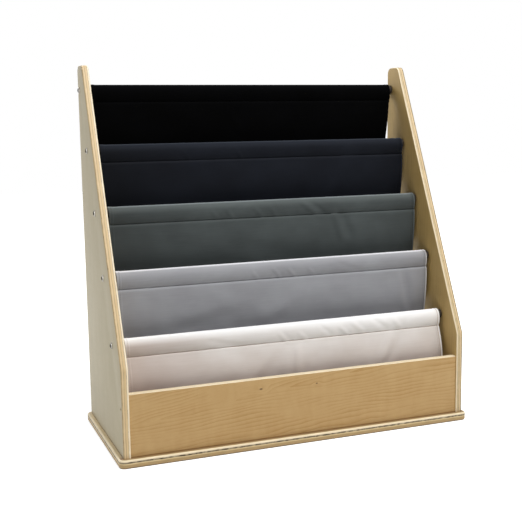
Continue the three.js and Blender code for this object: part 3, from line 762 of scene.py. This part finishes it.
# %% Waves and creases
SPREAD = (0.7, 1.6)  # of a wave's length, about the one asked for
WAVES_HEIGHT = 1.4  # of the sum of such sines, over the root of their count


def waves(x, s, seed, length, count=9):
    """Sum of count sines whose wavelengths spread about length, in turned directions: about -1 to 1."""
    rng = np.random.default_rng(seed)
    total = np.zeros(np.broadcast(x, s).shape)
    for _ in range(count):
        angle = rng.uniform(0, math.pi)
        wavelength = length * rng.uniform(*SPREAD)
        phase = rng.uniform(0, 2 * math.pi)
        along = (x * math.cos(angle) + s * math.sin(angle)) * 2 * math.pi / wavelength
        total = total + np.sin(along + phase)
    return total / math.sqrt(count) / WAVES_HEIGHT


def crease(x, s, place, angle, size, height):
    """A ridge exp(-(a/wide)^2) (1 - 1.2 (a/wide)^2) exp(-(b/long)^4), a across it and b along it."""
    turned = math.radians(angle)
    dx, ds = x - place[0], s - place[1]
    along = dx * math.cos(turned) + ds * math.sin(turned)
    across = (ds * math.cos(turned) - dx * math.sin(turned)) / size[1]
    return height * (1 - 1.2 * across**2) * np.exp(-(across**2)) * np.exp(-((along / size[0]) ** 4))


def smooth_step(value, low, high):
    """0 below low, 1 above high, 3t^2 - 2t^3 between."""
    t = np.clip((value - low) / (high - low), 0, 1)
    return t * t * (3 - 2 * t)


def band(value, rises, full, falls, ends):
    """A smooth step up from rises to full, and one down from falls to ends."""
    return smooth_step(value, rises, full) * (1 - smooth_step(value, falls, ends))


print("waves at a point:", round(float(waves(np.array(10.0), np.array(5.0), 1, 90.0)), 3))

# %% [markdown]
# ### What each sling does differently
#
# The five slings share their cut. Each has its own seed for the soft waves, its own strength of puckers and
# its own listed creases. A crease is written as its place along the dowel, its place down the cloth
# from the seam (above it negative), its turn in degrees, its length and width, and its height. The black
# sling's face was hemmed narrower than its casing.

# %% Creases seen in the photograph
CREASES = {
    "black": [(-40, 40, 60, (34, 12), 0.8), (120, 30, 70, (30, 11), 0.7)],
    "navy": [(-170, -10, 50, (14, 5), 0.7), (-50, -10, 52, (14, 5), 0.8), (190, 60, -62, (70, 26), 2.2)],
    "dark_grey": [(-130, -12, 50, (15, 6), 0.6), (-95, -11, 52, (15, 6), 0.7), (-30, -12, 50, (17, 7.5), 0.9),
                  (5, -12, 52, (16, 7), 0.8), (90, -16, 38, (28, 8), 1.5), (114, -15, 38, (28, 7), -1.0),
                  (160, 24, 72, (36, 11), 2.0), (182, 28, 66, (32, 13), -1.6), (-20, 70, 8, (70, 24), -1.4)],
    "light_grey": [(-60, -10, 50, (14, 5), 0.6), (-10, -11, 50, (15, 5), 0.8), (25, -9, 46, (15, 5), 0.8),
                   (70, -10, 45, (15, 5), 0.6), (-160, 80, -12, (80, 22), -1.6), (10, 60, -28, (70, 22), 1.4),
                   (305, 48, 78, (46, 14), -2.4), (160, -14, 20, (40, 7), -0.6)],
    "cream": [(-150, -10, 14, (44, 8), -0.8), (-20, -9, 46, (16, 6), 0.9), (25, -8, 40, (15, 6), 0.9),
              (78, -17, 40, (18, 7), -0.9), (120, -12, 44, (16, 6), 0.9), (152, -18, 38, (22, 7), 1.0),
              (206, -20, 36, (24, 8), -1.1), (250, -16, 48, (18, 7), 0.9),
              (-72, 44, -50, (44, 16), 2.0), (8, 52, -84, (36, 13), 2.4),
              (215, 40, -58, (40, 14), 2.0), (236, 46, -58, (34, 12), -1.6)],
}
PUCKER = {"black": 0.25, "navy": 0.35, "dark_grey": 0.55, "light_grey": 0.45, "cream": 0.5}  # mm high
FACE_INSET = {"black": (3.0, 5.0)}  # mm at the right edge: just under the seam, and how much more at the foot
print("creases:", {name: len(list_of) for name, list_of in CREASES.items()})

# %% [markdown]
# ### From section to cloth
#
# The surface is one closed skin: out along the front of the cloth, round its side edge, and back along its
# other face. A ring of such points is carried along the section, which gives a grid, and the two ends are
# closed with a strip. The skin lies half a thickness from the middle of the cloth, more at the folded side
# hems, less along each row of stitches, where thread pulls the cloth in. One function says where a point of
# the cloth lies, so that the stitches can sit on the same surface.

# %% Sizes of hems, sags and wrinkles
HEM = 9.0  # mm, width of the folded side hem
HEM_STITCH = 5.5  # mm, from the side edge to its row of stitches
POCKET_SAG = 8.0  # mm, how much deeper the pocket hangs in the middle
SIDE_DRAW = 1.2  # mm, how far the side edges pull in half way down the face
SEAM_DIP = 0.8  # mm, how deep the stitches pull the seam in
SEAM_REACH = 1.1  # mm
HEM_END = (1.2, 0.6)  # mm before and past the hem's width, between which the cloth stops being double
PINCH = (0.12, 0.42)  # of the cloth's thickness, how much the hem's stitches pinch it on the left and right
PINCH_REACH = 0.9  # mm
CALM_EDGE = (40.0, 4.0)  # mm from the side edge, where wrinkles start to fade and where they are gone
CASING_BAND = (-34.0, -24.0, -3.0, 1.0)  # mm from the seam, where the puckers rise, are full, fall and end
FACE_BAND = (6.0, 30.0, 210.0, 240.0)  # mm from the seam, the same for the soft waves
PUCKER_WAVE, PUCKER_PATCH = 26.0, 260.0  # mm, from pucker to pucker and from one group of them to the next
PUCKER_LEAN = 0.9  # mm along the dowel for each mm down the cloth
PUCKER_STRETCH = 0.25  # how fast a pucker changes down the cloth, of how fast it does along the dowel
PUCKER_MOST = 1.2  # of its height, in the strongest group
SOFT_WAVES = ((1.5, 170.0), (0.35, 60.0))  # mm, height and wavelength
INSET_BAND, TAPER_BAND = (1.0, 8.0), (0.0, 110.0)  # mm from the seam, where a face's inset and taper grow
print("side hems", HEM, "mm wide, stitched", HEM_STITCH, "mm from the edge")


# %% Where a point of the cloth lies
def half_thickness(x):
    """Half the cloth's thickness at x: doubled over the hem, and pinched at the hem's stitches."""
    from_edge = HALF_WIDTH - np.abs(x)
    doubled = 0.5 * CLOTH * (1 - smooth_step(from_edge, HEM - HEM_END[0], HEM + HEM_END[1]))
    depth = np.where(x > 0, PINCH[1], PINCH[0]) * CLOTH
    pinch = depth * np.exp(-(((from_edge - HEM_STITCH) / PINCH_REACH) ** 2))
    return 0.5 * CLOTH + doubled - pinch


class Sling:
    """One sling in mm about its dowel's axis: x along the dowel, s down the cloth from its seam."""

    def __init__(self, colour, points, seams, seed, sag):
        along = distance_along(points)
        self.colour, self.points, self.seed, self.sag = colour, points, seed, sag
        self.places = along - along[seams[0]]
        self.seams = [self.places[i] for i in seams]
        way = np.gradient(points, axis=0)
        way /= np.linalg.norm(way, axis=1, keepdims=True)
        self.normals = np.stack([way[:, 1], -way[:, 0]], axis=1)

    def wrinkles(self, x, s):
        """How far the middle of the cloth stands off its section at x and s, to its outer side."""
        inside = 1 - smooth_step(np.abs(x), HALF_WIDTH - CALM_EDGE[0], HALF_WIDTH - CALM_EDGE[1])
        grouped = np.clip(0.5 + 0.5 * waves(x, s * 0, self.seed + 3, PUCKER_PATCH), 0, PUCKER_MOST)
        slanted = waves(x + PUCKER_LEAN * s, s * PUCKER_STRETCH, self.seed, PUCKER_WAVE)
        puckers = PUCKER[self.colour] * slanted * band(s, *CASING_BAND) * grouped
        soft = sum(height * waves(x, s, self.seed + turn, length)
                   for turn, (height, length) in enumerate(SOFT_WAVES, 1)) * band(s, *FACE_BAND)
        folds = sum(crease(x, s, (cx, cs), turned, size, height)
                    for cx, cs, turned, size, height in CREASES[self.colour])
        dips = sum(-SEAM_DIP * np.exp(-(((s - seam) / SEAM_REACH) ** 2)) for seam in self.seams)
        return (puckers + soft + folds) * inside + dips

    def at(self, x, s, lift):
        """point = section(s) + normal(s) * (lift + wrinkles(x, s)), then sagged and drawn in at the sides."""
        y, z = (np.interp(s, self.places, self.points[:, k]) for k in (0, 1))
        off = lift + self.wrinkles(x, s)
        y = y + np.interp(s, self.places, self.normals[:, 0]) * off
        z = z + np.interp(s, self.places, self.normals[:, 1]) * off
        share = x / HALF_WIDTH
        foot = self.points[:, 1].min()
        fall = 1 - smooth_step(z, foot, SEAM[1])
        draw = SIDE_DRAW * np.sin(math.pi * fall) * (self.sag > 0)
        inset, taper = FACE_INSET.get(self.colour, (0.0, 0.0))
        narrower = inset * smooth_step(s, *INSET_BAND) + taper * smooth_step(s, *TAPER_BAND)
        draw = draw + narrower * (x > 0)
        hang = (1 - smooth_step(z, foot, foot + POCKET_DEPTH + SEAM[1])) * self.sag
        return np.stack(np.broadcast_arrays(x - share * draw, y, z - hang * (1 - share**2)), axis=-1)


print("thickness: face", CLOTH, "mm, hem", round(2 * float(half_thickness(HALF_WIDTH)), 1), "mm")

# %% The five slings
slings = []
for index, sling_name in enumerate(SLING_NAMES):
    lowest = index == len(SLING_NAMES) - 1
    points, seams = lowest_section() if lowest else pocket_section()
    sling_colour = sling_name.split("_", 2)[2]
    slings.append(Sling(sling_colour, points, seams, 10 * index + 5, 0.0 if lowest else POCKET_SAG))
print("slings:", {sling.colour: round(float(np.ptp(sling.places)), 1) for sling in slings}, "mm long")

# %% Grid of the cloth
EDGE_TURNS = 5  # points round the side edge
EDGE_ROUND = 0.6  # mm, how far the folded edge bulges
COLUMN_SPACING = 3.0  # mm
HEM_COLUMNS = 12  # over each side hem, with the first one at the last of the even columns
HEM_MARGIN = 3.0  # mm, how far inside the hem's width they start
ROW_SPACING = 2.4  # mm
SEAM_BAND = 5.0  # mm on each side of a seam with close rows
SEAM_ROW = 0.55  # mm


def spaced(first, last, spacing):
    """Even places from first to last, about spacing apart."""
    return np.linspace(first, last, int(round((last - first) / spacing)) + 1)


def column_places():
    """Places along the dowel from the left edge to the right: close together over the side hems."""
    fine = HALF_WIDTH - HEM - HEM_MARGIN
    ends = np.linspace(fine, HALF_WIDTH - EDGE_ROUND, HEM_COLUMNS)[1:]
    return np.concatenate([-ends[::-1], spaced(-fine, fine, COLUMN_SPACING), ends])


def row_places(sling):
    """Places down the cloth: even, and close together at the first seam."""
    first, last = sling.places[0], sling.places[-1]
    above = spaced(first, -SEAM_BAND, ROW_SPACING)[:-1]
    at_seam = spaced(-SEAM_BAND, SEAM_BAND, SEAM_ROW)
    return np.concatenate([above, at_seam, spaced(SEAM_BAND, last, ROW_SPACING)[1:]])


print("grid:", len(column_places()), "columns,", len(row_places(slings[0])), "rows on a pocket sling")


# %% The closed skin
def ring():
    """The closed ring: places along the dowel, how far each lies from the middle, and the front's count."""
    front = column_places()
    thick = half_thickness(front)
    turn_angle = np.linspace(0, math.pi, EDGE_TURNS + 2)[1:-1]
    right = front[-1] + EDGE_ROUND * np.sin(turn_angle)
    places = np.concatenate([front, right, front[::-1], -right])
    edge = thick[-1] * np.cos(turn_angle)
    offsets = np.concatenate([thick, edge, -thick[::-1], -edge])
    return places, offsets, len(front)


def closed_faces(rows, columns, front_count):
    """Quads round the ring and along the section, and strips of quads that close the two ends."""
    i, j = np.meshgrid(np.arange(rows - 1), np.arange(columns), indexing="ij")
    after = (j + 1) % columns
    here, below = i * columns, (i + 1) * columns
    quads = np.stack([here + j, below + j, below + after, here + after], axis=-1)
    faces = quads.reshape(-1, 4).tolist()
    back_start = front_count + EDGE_TURNS
    for row, flip in ((0, False), (rows - 1, True)):
        base = row * columns
        for k in range(front_count - 1):
            mirrored = back_start + front_count - 1 - k
            strip = [base + k, base + k + 1, base + mirrored - 1, base + mirrored]
            faces.append(strip[::-1] if flip else strip)
        right = [base + k for k in range(front_count - 1, back_start + 1)]
        left = [base] + [base + k for k in range(columns - 1, back_start + front_count - 2, -1)]
        for cap in (right, left[::-1]):
            faces.append(cap[::-1] if flip else cap)
    return faces


print("ring:", len(ring()[0]), "points, of which the front has", ring()[2])


# %% Mesh objects
def mesh_object(name, vertices, faces, uv=None):
    """A smooth mesh object at the origin from points in metres, with an optional UV map in metres."""
    mesh = bpy.data.meshes.new(name)
    mesh.from_pydata(vertices.reshape(-1, 3), [], faces)
    mesh.polygons.foreach_set("use_smooth", np.ones(len(mesh.polygons), bool))
    if uv is not None:
        corner_vertex = np.zeros(len(mesh.loops), np.int32)
        mesh.loops.foreach_get("vertex_index", corner_vertex)
        layer = mesh.uv_layers.new(name="cloth")
        layer.data.foreach_set("uv", uv.reshape(-1, 2)[corner_vertex].astype(np.float32).ravel())
    mesh.update()
    piece = bpy.data.objects.new(name, mesh)
    bpy.context.scene.collection.objects.link(piece)
    return piece


# %% [markdown]
# ### Stitches
#
# A lockstitch shows as a row of short threads with a tiny gap between them, on both sides of the cloth. Each
# is a small capsule of few faces. Its middle stands on the cloth and its ends dive in.

# %% Sizes of the stitches
STITCH_PITCH = 3.5  # mm
STITCH_LENGTH = 2.7  # mm
THREAD_RADIUS = 0.28  # mm, somewhat thick, so that it shows
THREAD_SIDES = 5
STATIONS = np.array([  # the capsule's rings: place and girth, of half its length and of the thread's radius
    [-1.0, 0.3], [-0.75, 0.85], [0.0, 1.0], [0.75, 0.85], [1.0, 0.3]])
STITCH_LIFT = 0.3 * THREAD_RADIUS  # mm, how far a stitch's middle line stands off the cloth
STITCH_DIVE = 1.2  # of the thread's radius, how deep its ends dive
SEAM_END = 2.0  # mm between the ends of a seam's row and the side hems
TUCK_STITCH = 2.5  # mm from the tucked end to its row of stitches
print("stitches:", STITCH_LENGTH, "mm long, one each", STITCH_PITCH, "mm")


# %% Stitch builder
def stitch_row(sling, x, s, lift, along_x):
    """Capsules centred at the places x and s on one side of the cloth, running along x or along s."""
    reach = STITCH_LENGTH / 2
    dx, ds = (reach, 0.0) if along_x else (0.0, reach)
    middle, ahead, above = sling.at(x, s, lift), sling.at(x + dx, s + ds, lift), sling.at(x, s, lift * 1.5)
    along = ahead - middle
    out = above - middle
    out /= np.linalg.norm(out, axis=-1, keepdims=True)
    side = np.cross(along, out)
    side /= np.linalg.norm(side, axis=-1, keepdims=True)
    angle = np.arange(THREAD_SIDES) / THREAD_SIDES * 2 * math.pi
    place, girth = STATIONS[:, 0][None, :, None, None], STATIONS[:, 1][None, :, None, None] * THREAD_RADIUS
    cos, sin = np.cos(angle)[None, None, :, None], np.sin(angle)[None, None, :, None]
    middle, along, out, side = (v[:, None, None, :] for v in (middle, along, out, side))
    bent = middle + along * place - out * THREAD_RADIUS * STITCH_DIVE * place**2
    return bent + girth * (cos * side + sin * out)


def stitch_faces(count):
    """Quads between a capsule's five rings and a cap on each end, repeated count times."""
    stations = len(STATIONS)
    quads = []
    for i in range(stations - 1):
        here, ahead = i * THREAD_SIDES, (i + 1) * THREAD_SIDES
        for j in range(THREAD_SIDES):
            after = (j + 1) % THREAD_SIDES
            quads.append([here + j, ahead + j, ahead + after, here + after])
    first = list(range(THREAD_SIDES))
    last = [(stations - 1) * THREAD_SIDES + j for j in first[::-1]]
    starts = np.arange(count) * stations * THREAD_SIDES
    return [[start + v for v in face] for start in starts.tolist() for face in quads + [first, last]]


print("faces of one stitch:", len(stitch_faces(1)))


# %% All rows of a sling
def all_stitches(sling):
    """Rows at each seam, at the tucked end behind it and at both side hems, as one array of capsules."""
    reach = HALF_WIDTH - HEM - SEAM_END
    x = spaced(-reach, reach, STITCH_PITCH)
    s = spaced(sling.places[0] + STITCH_PITCH, sling.places[-1] - STITCH_PITCH, STITCH_PITCH)
    lift = half_thickness(x) + STITCH_LIFT
    rows = [stitch_row(sling, x, x * 0 + seam, lift, True) for seam in sling.seams]
    rows.append(stitch_row(sling, x, x * 0 + sling.places[0] + TUCK_STITCH, lift, True))
    for edge in (-1, 1):
        hem_x = s * 0 + edge * (HALF_WIDTH - HEM_STITCH)
        for outer in (-1, 1):
            hem_lift = outer * (half_thickness(hem_x) + STITCH_LIFT)
            rows.append(stitch_row(sling, hem_x, s, hem_lift, False))
    return np.concatenate(rows)


print("stitches on a pocket sling:", len(all_stitches(slings[0])))

# %% Slings and stitches
cloths = {}
for index, sling in enumerate(slings):
    ring_x, ring_lift, front_count = ring()
    rows = row_places(sling)[:, None]
    to_frame = np.array([SLID[index], *DOWEL_AXES[index]])
    surface = (sling.at(ring_x[None, :], rows, ring_lift[None, :]) + to_frame) * MM
    uv = np.stack(np.broadcast_arrays(ring_x[None, :] * MM, rows * MM), axis=-1)
    faces = closed_faces(surface.shape[0], surface.shape[1], front_count)
    cloth = mesh_object(f"cloth_{sling.colour}", surface, faces, uv)
    capsules = (all_stitches(sling) + to_frame) * MM
    stitches = mesh_object(f"stitches_{sling.colour}", capsules, stitch_faces(len(capsules)))
    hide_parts(SLING_NAMES[index])
    for piece in (cloth, stitches):
        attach(piece, "root")
    cloths[sling.colour] = (cloth, stitches)

# %% [markdown]
# ### Cloth finish
#
# The cloth is plain-woven polyester canvas with a smooth, faintly shiny face. Its threads are finer than the
# picture can show, so the weave is only felt as a soft sheen. The pattern follows the cloth's own UV map,
# which is in metres, so the threads stay true round the casing. The map's second value is the distance from
# the seam, and that gives all that depends on it a place: the shade in the seam's fold, and the painted
# highlights on the top of the casing and, brightest, on its very ridge.
#
# Light and shade are painted into the slings too. Some have painted shade in their left part, the cream one
# also towards the foot of its face, and its casing has painted light to the right. The fold of the side hem
# has a painted highlight on the right. On the left it is kept faint, as is the hem's stitch shade.

# %% Sizes in the cloth's finish
THREAD_SPACING = 0.6  # mm
SLUBS = (18.0, 420.0, 1.0)  # in a metre along and across: thicker stretches of the weft
CLOUDS = 11.0  # in a metre, soft changes of the dye
SLUB_SHARE = 0.35  # of the clouds' strength
DYE_RANGE = (0.45, 0.9)  # of clouds and slubs together, from the light tone to the dark one
WEAVE_DEPTH = 0.12  # mm
OVER_SHARE = 0.5  # of a slub's height, how far the threads go over and under
SEAM_SHADE = (0.35, 1.0, 0.65)  # mm from the seam's middle, where its shade fades and ends, and its strength
HEM_SHADE = (0.3, 0.9, 0.45)  # mm from the hem's stitches, the same
FOLD_HIGHLIGHT = (4.2, 2.2, 0.9)  # mm from the side edge, where the fold's painted highlight begins and is full, and its strength
EDGE_PAINT_SHARE = (0.12, 1.0)  # share of the fold's painted highlight and of the hem's shade at the left and at the right edge
CREST = (-42.0, 4.0, 20.0, 0.8)  # mm from the seam, then where the painted highlight is full and ends, its strength
RIDGE = (-46.0, 6.5, 10.0, 0.9)  # the same for the ridge's brighter painted highlight
LEFT_REACH = (-350.0, -130.0)  # mm along the dowel, where the painted shade on the left is fullest and where it ends
LOW_REACH = (8.0, 70.0)  # mm down from the seam, where the face's painted shade starts and where it is darkest
PAINTED_LIGHT_REACH = (-260.0, 120.0)  # mm along the dowel, where painted light on the casing starts and where it is strongest
print("cloth: threads", THREAD_SPACING, "mm apart, weave", WEAVE_DEPTH, "mm deep")


# %% Weave and dye
def weave_and_dye(node, flat, light, dark):
    """The dye's tone, with soft clouds and slubs in it, and the height of a plain weave.

    Two sets of threads that go over and under are the product of two sines. Slubs are long thin noise.
    """
    threads = node(VECTOR_MATH, {0: flat, "Scale": math.pi / (THREAD_SPACING * MM)}, operation="SCALE")
    axes = node("ShaderNodeSeparateXYZ", {0: threads})
    warp = node(MATH, {0: axes.outputs[0]}, operation="SINE")
    weft = node(MATH, {0: axes.outputs[1]}, operation="SINE")
    over = node(MATH, {0: warp, 1: weft}, operation="MULTIPLY")
    slub = node(NOISE, {"Vector": node(MAPPING, {"Vector": flat, "Scale": SLUBS}), "Scale": 1.0})
    cloud = node(NOISE, {"Vector": flat, "Scale": CLOUDS, "Detail": 3.0})
    mixed = node(MATH, {0: slub, 1: SLUB_SHARE, 2: cloud}, operation="MULTIPLY_ADD")
    tone = node(MAP_RANGE, {"Value": mixed, "From Min": DYE_RANGE[0], "From Max": DYE_RANGE[1]})
    body = node(MIX, {"Factor": tone, FROM: linear(light), TO: linear(dark)}, data_type="RGBA")
    return body, node(MATH, {0: over, 1: OVER_SHARE, 2: slub}, operation="MULTIPLY_ADD")


print("slubs about", round(1 / MM / SLUBS[0]), "mm long and", round(1 / MM / SLUBS[1], 1), "mm wide")


# %% Light, wear and shade
def large_changes(node, along, down, left, low, painted_light_right):
    """Shares of painted shade on the left part and the face's foot, and of painted light on the casing."""
    in_the_left = node(MAP_RANGE, {"Value": along, "From Min": LEFT_REACH[0], "From Max": LEFT_REACH[1],
                                   "To Min": left, "To Max": 0.0}, interpolation_type="SMOOTHSTEP")
    down_the_face = node(MAP_RANGE, {"Value": down, "From Min": LOW_REACH[0], "From Max": LOW_REACH[1],
                                     "To Max": low})
    to_the_right = node(MAP_RANGE, {"Value": along, "From Min": PAINTED_LIGHT_REACH[0], "From Max": PAINTED_LIGHT_REACH[1],
                                    "To Max": painted_light_right})
    on_casing = node(MATH, {0: down, 1: 0.0}, operation="LESS_THAN")
    return in_the_left, down_the_face, node(MATH, {0: to_the_right, 1: on_casing}, operation="MULTIPLY")


def painted_highlights(node, down, from_edge, edge_paint_share):
    """How much painted highlight lies on the side's fold, and on the crest and the ridge of the casing."""
    at_edge = node(MAP_RANGE, {"Value": from_edge, "From Min": FOLD_HIGHLIGHT[0], "From Max": FOLD_HIGHLIGHT[1], "To Max": FOLD_HIGHLIGHT[2]})
    shares = [node(MATH, {0: at_edge, 1: edge_paint_share}, operation="MULTIPLY")]
    for middle, full, end, strength in (CREST, RIDGE):
        off = node(MATH, {0: down, 1: middle}, operation="SUBTRACT")
        away = node(MATH, {0: off}, operation="ABSOLUTE")
        shares.append(node(MAP_RANGE, {"Value": away, "From Min": full, "From Max": end, "To Min": strength,
                                       "To Max": 0.0}))
    return shares


def stitch_shade(node, from_seam, from_edge, edge_paint_share):
    """How much shade lies in the lines of stitches, at the seam and at the side hems."""
    off_stitches = node(MATH, {0: from_edge, 1: HEM_STITCH}, operation="SUBTRACT")
    from_stitches = node(MATH, {0: off_stitches}, operation="ABSOLUTE")
    hem, seam = (node(MAP_RANGE, {"Value": distance, "From Min": end, "From Max": full, "To Max": strength})
                 for distance, (full, end, strength) in ((from_stitches, HEM_SHADE), (from_seam, SEAM_SHADE)))
    hem_line = node(MATH, {0: hem, 1: edge_paint_share}, operation="MULTIPLY")
    return node(MATH, {0: hem_line, 1: seam}, operation="MAXIMUM")


print("crest", -CREST[0], "mm and ridge", -RIDGE[0], "mm above the seam")


# %% Woven polyester
def woven_polyester(name, light, dark, shade, fold_highlight, crest, ridge, left, low, painted_light_right, rough, shine, sheen):
    """Plain-woven polyester, dyed through and calendered smooth.

    light and dark are the dye's own tones, and shade that of folds. The next three are painted highlights: on
    the side's fold, on the casing's crest and on its ridge. left and low say how much painted shade is mixed
    into the left part and into the face's foot, and the value after them how much of the crest's painted
    highlight is mixed into the casing towards the right.
    rough, shine and sheen are its roughness, its specular level and the weight of its sheen.
    """
    material, node = new_material(name)
    flat = node("ShaderNodeUVMap", uv_map="cloth")
    body, height = weave_and_dye(node, flat, light, dark)

    # Where a point lies, in mm along the dowel and down from the seam
    in_mm = node(VECTOR_MATH, {0: flat, "Scale": 1 / MM}, operation="SCALE")
    along, down, _ = node("ShaderNodeSeparateXYZ", {0: in_mm}).outputs
    unsigned = node(VECTOR_MATH, {0: in_mm}, operation="ABSOLUTE")
    from_middle, from_seam, _ = node("ShaderNodeSeparateXYZ", {0: unsigned}).outputs
    from_edge = node(MATH, {0: HALF_WIDTH, 1: from_middle}, operation="SUBTRACT")
    edge_paint_share = node(MAP_RANGE, {"Value": along, "From Min": -1.0, "From Max": 1.0, "To Min": EDGE_PAINT_SHARE[0],
                               "To Max": EDGE_PAINT_SHARE[1]})

    # Painted shade on the left and at the foot, painted light on the casing, painted highlights, and the
    # stitch lines' shade, mixed in that order.
    shares = [*large_changes(node, along, down, left, low, painted_light_right),
              *painted_highlights(node, down, from_edge, edge_paint_share), stitch_shade(node, from_seam, from_edge, edge_paint_share)]
    for share, tint in zip(shares, (shade, shade, crest, fold_highlight, crest, ridge, shade)):
        body = node(MIX, {"Factor": share, FROM: body, TO: linear(tint)}, data_type="RGBA")
    bump = node("ShaderNodeBump", {"Height": height, "Strength": 0.25, "Distance": WEAVE_DEPTH * MM})
    shader = node("ShaderNodeBsdfPrincipled", {
        "Base Color": body, "Roughness": rough, "Normal": bump, "Specular IOR Level": shine,
        "Sheen Weight": sheen, "Sheen Roughness": 0.45})
    node("ShaderNodeOutputMaterial", {"Surface": shader})
    return material


print("the hem's shade lies", HEM_STITCH, "mm from each side edge")

# %% Sewing thread
THREAD_TWIST = 2400.0  # in a metre, so that a thread changes its tone over about 0.4 mm
THREAD_RELIEF = 0.08  # mm


def sewing_thread(name, colour):
    """Twisted polyester thread: a hair of colour change along it, and a soft shine."""
    material, node = new_material(name)
    place = node("ShaderNodeTexCoord").outputs["Object"]
    twist = node(NOISE, {"Vector": place, "Scale": THREAD_TWIST, "Detail": 2.0})
    tone = node("ShaderNodeValToRGB", {0: twist}, stops=[(0.3, colour[0]), (0.7, colour[1])])
    bump = node("ShaderNodeBump", {"Height": twist, "Strength": 0.3, "Distance": THREAD_RELIEF * MM})
    shader = node("ShaderNodeBsdfPrincipled", {
        "Base Color": tone, "Roughness": 0.6, "Normal": bump, "Specular IOR Level": 0.1})
    node("ShaderNodeOutputMaterial", {"Surface": shader})
    return material


print("thread: twist about", round(1 / MM / THREAD_TWIST, 1), "mm,", THREAD_RELIEF, "mm deep")

# %% The five cloths
# In each cloth the three palest tones are painted highlights on the fold, crest and ridge; left and low are
# shares of painted shade, and the value after them one of painted light on the casing.
CLOTHS = {
    "black": dict(
        light="#060607", dark="#040404", shade="#020202", fold_highlight="#09090a", crest="#08080a", ridge="#0a0a0c",
        left=0.0, low=0.0, painted_light_right=0.0, rough=0.75, shine=0.01, sheen=0.0),
    "navy": dict(
        light="#171a21", dark="#12141a", shade="#08090c", fold_highlight="#23272f", crest="#1e222b", ridge="#32373f",
        left=0.55, low=0.0, painted_light_right=0.0, rough=0.65, shine=0.06, sheen=0.04),
    "dark_grey": dict(
        light="#4a5050", dark="#3f4444", shade="#262929", fold_highlight="#626968", crest="#5a6160", ridge="#7e8688",
        left=0.4, low=0.0, painted_light_right=0.0, rough=0.6, shine=0.12, sheen=0.15),
    "light_grey": dict(
        light="#9b9ca0", dark="#8f8f93", shade="#58585a", fold_highlight="#cfcfd1", crest="#a6a6aa", ridge="#eeeef2",
        left=0.0, low=0.0, painted_light_right=0.0, rough=0.62, shine=0.12, sheen=0.15),
    "cream": dict(
        light="#dcd7d3", dark="#d0c8c2", shade="#91705d", fold_highlight="#fdfcfb", crest="#ffffff", ridge="#ffffff",
        left=0.36, low=0.34, painted_light_right=0.5, rough=0.65, shine=0.12, sheen=0.2),
}
for colour, (cloth, stitches) in cloths.items():
    looks = CLOTHS[colour]
    cloth.data.materials.append(woven_polyester(f"woven_polyester_{colour}", **looks))
    thread = sewing_thread(f"polyester_sewing_thread_{colour}", (looks["dark"], looks["shade"]))
    stitches.data.materials.append(thread)
print("cloths:", list(CLOTHS))

# %% Last update of the scene
bpy.context.view_layer.update()
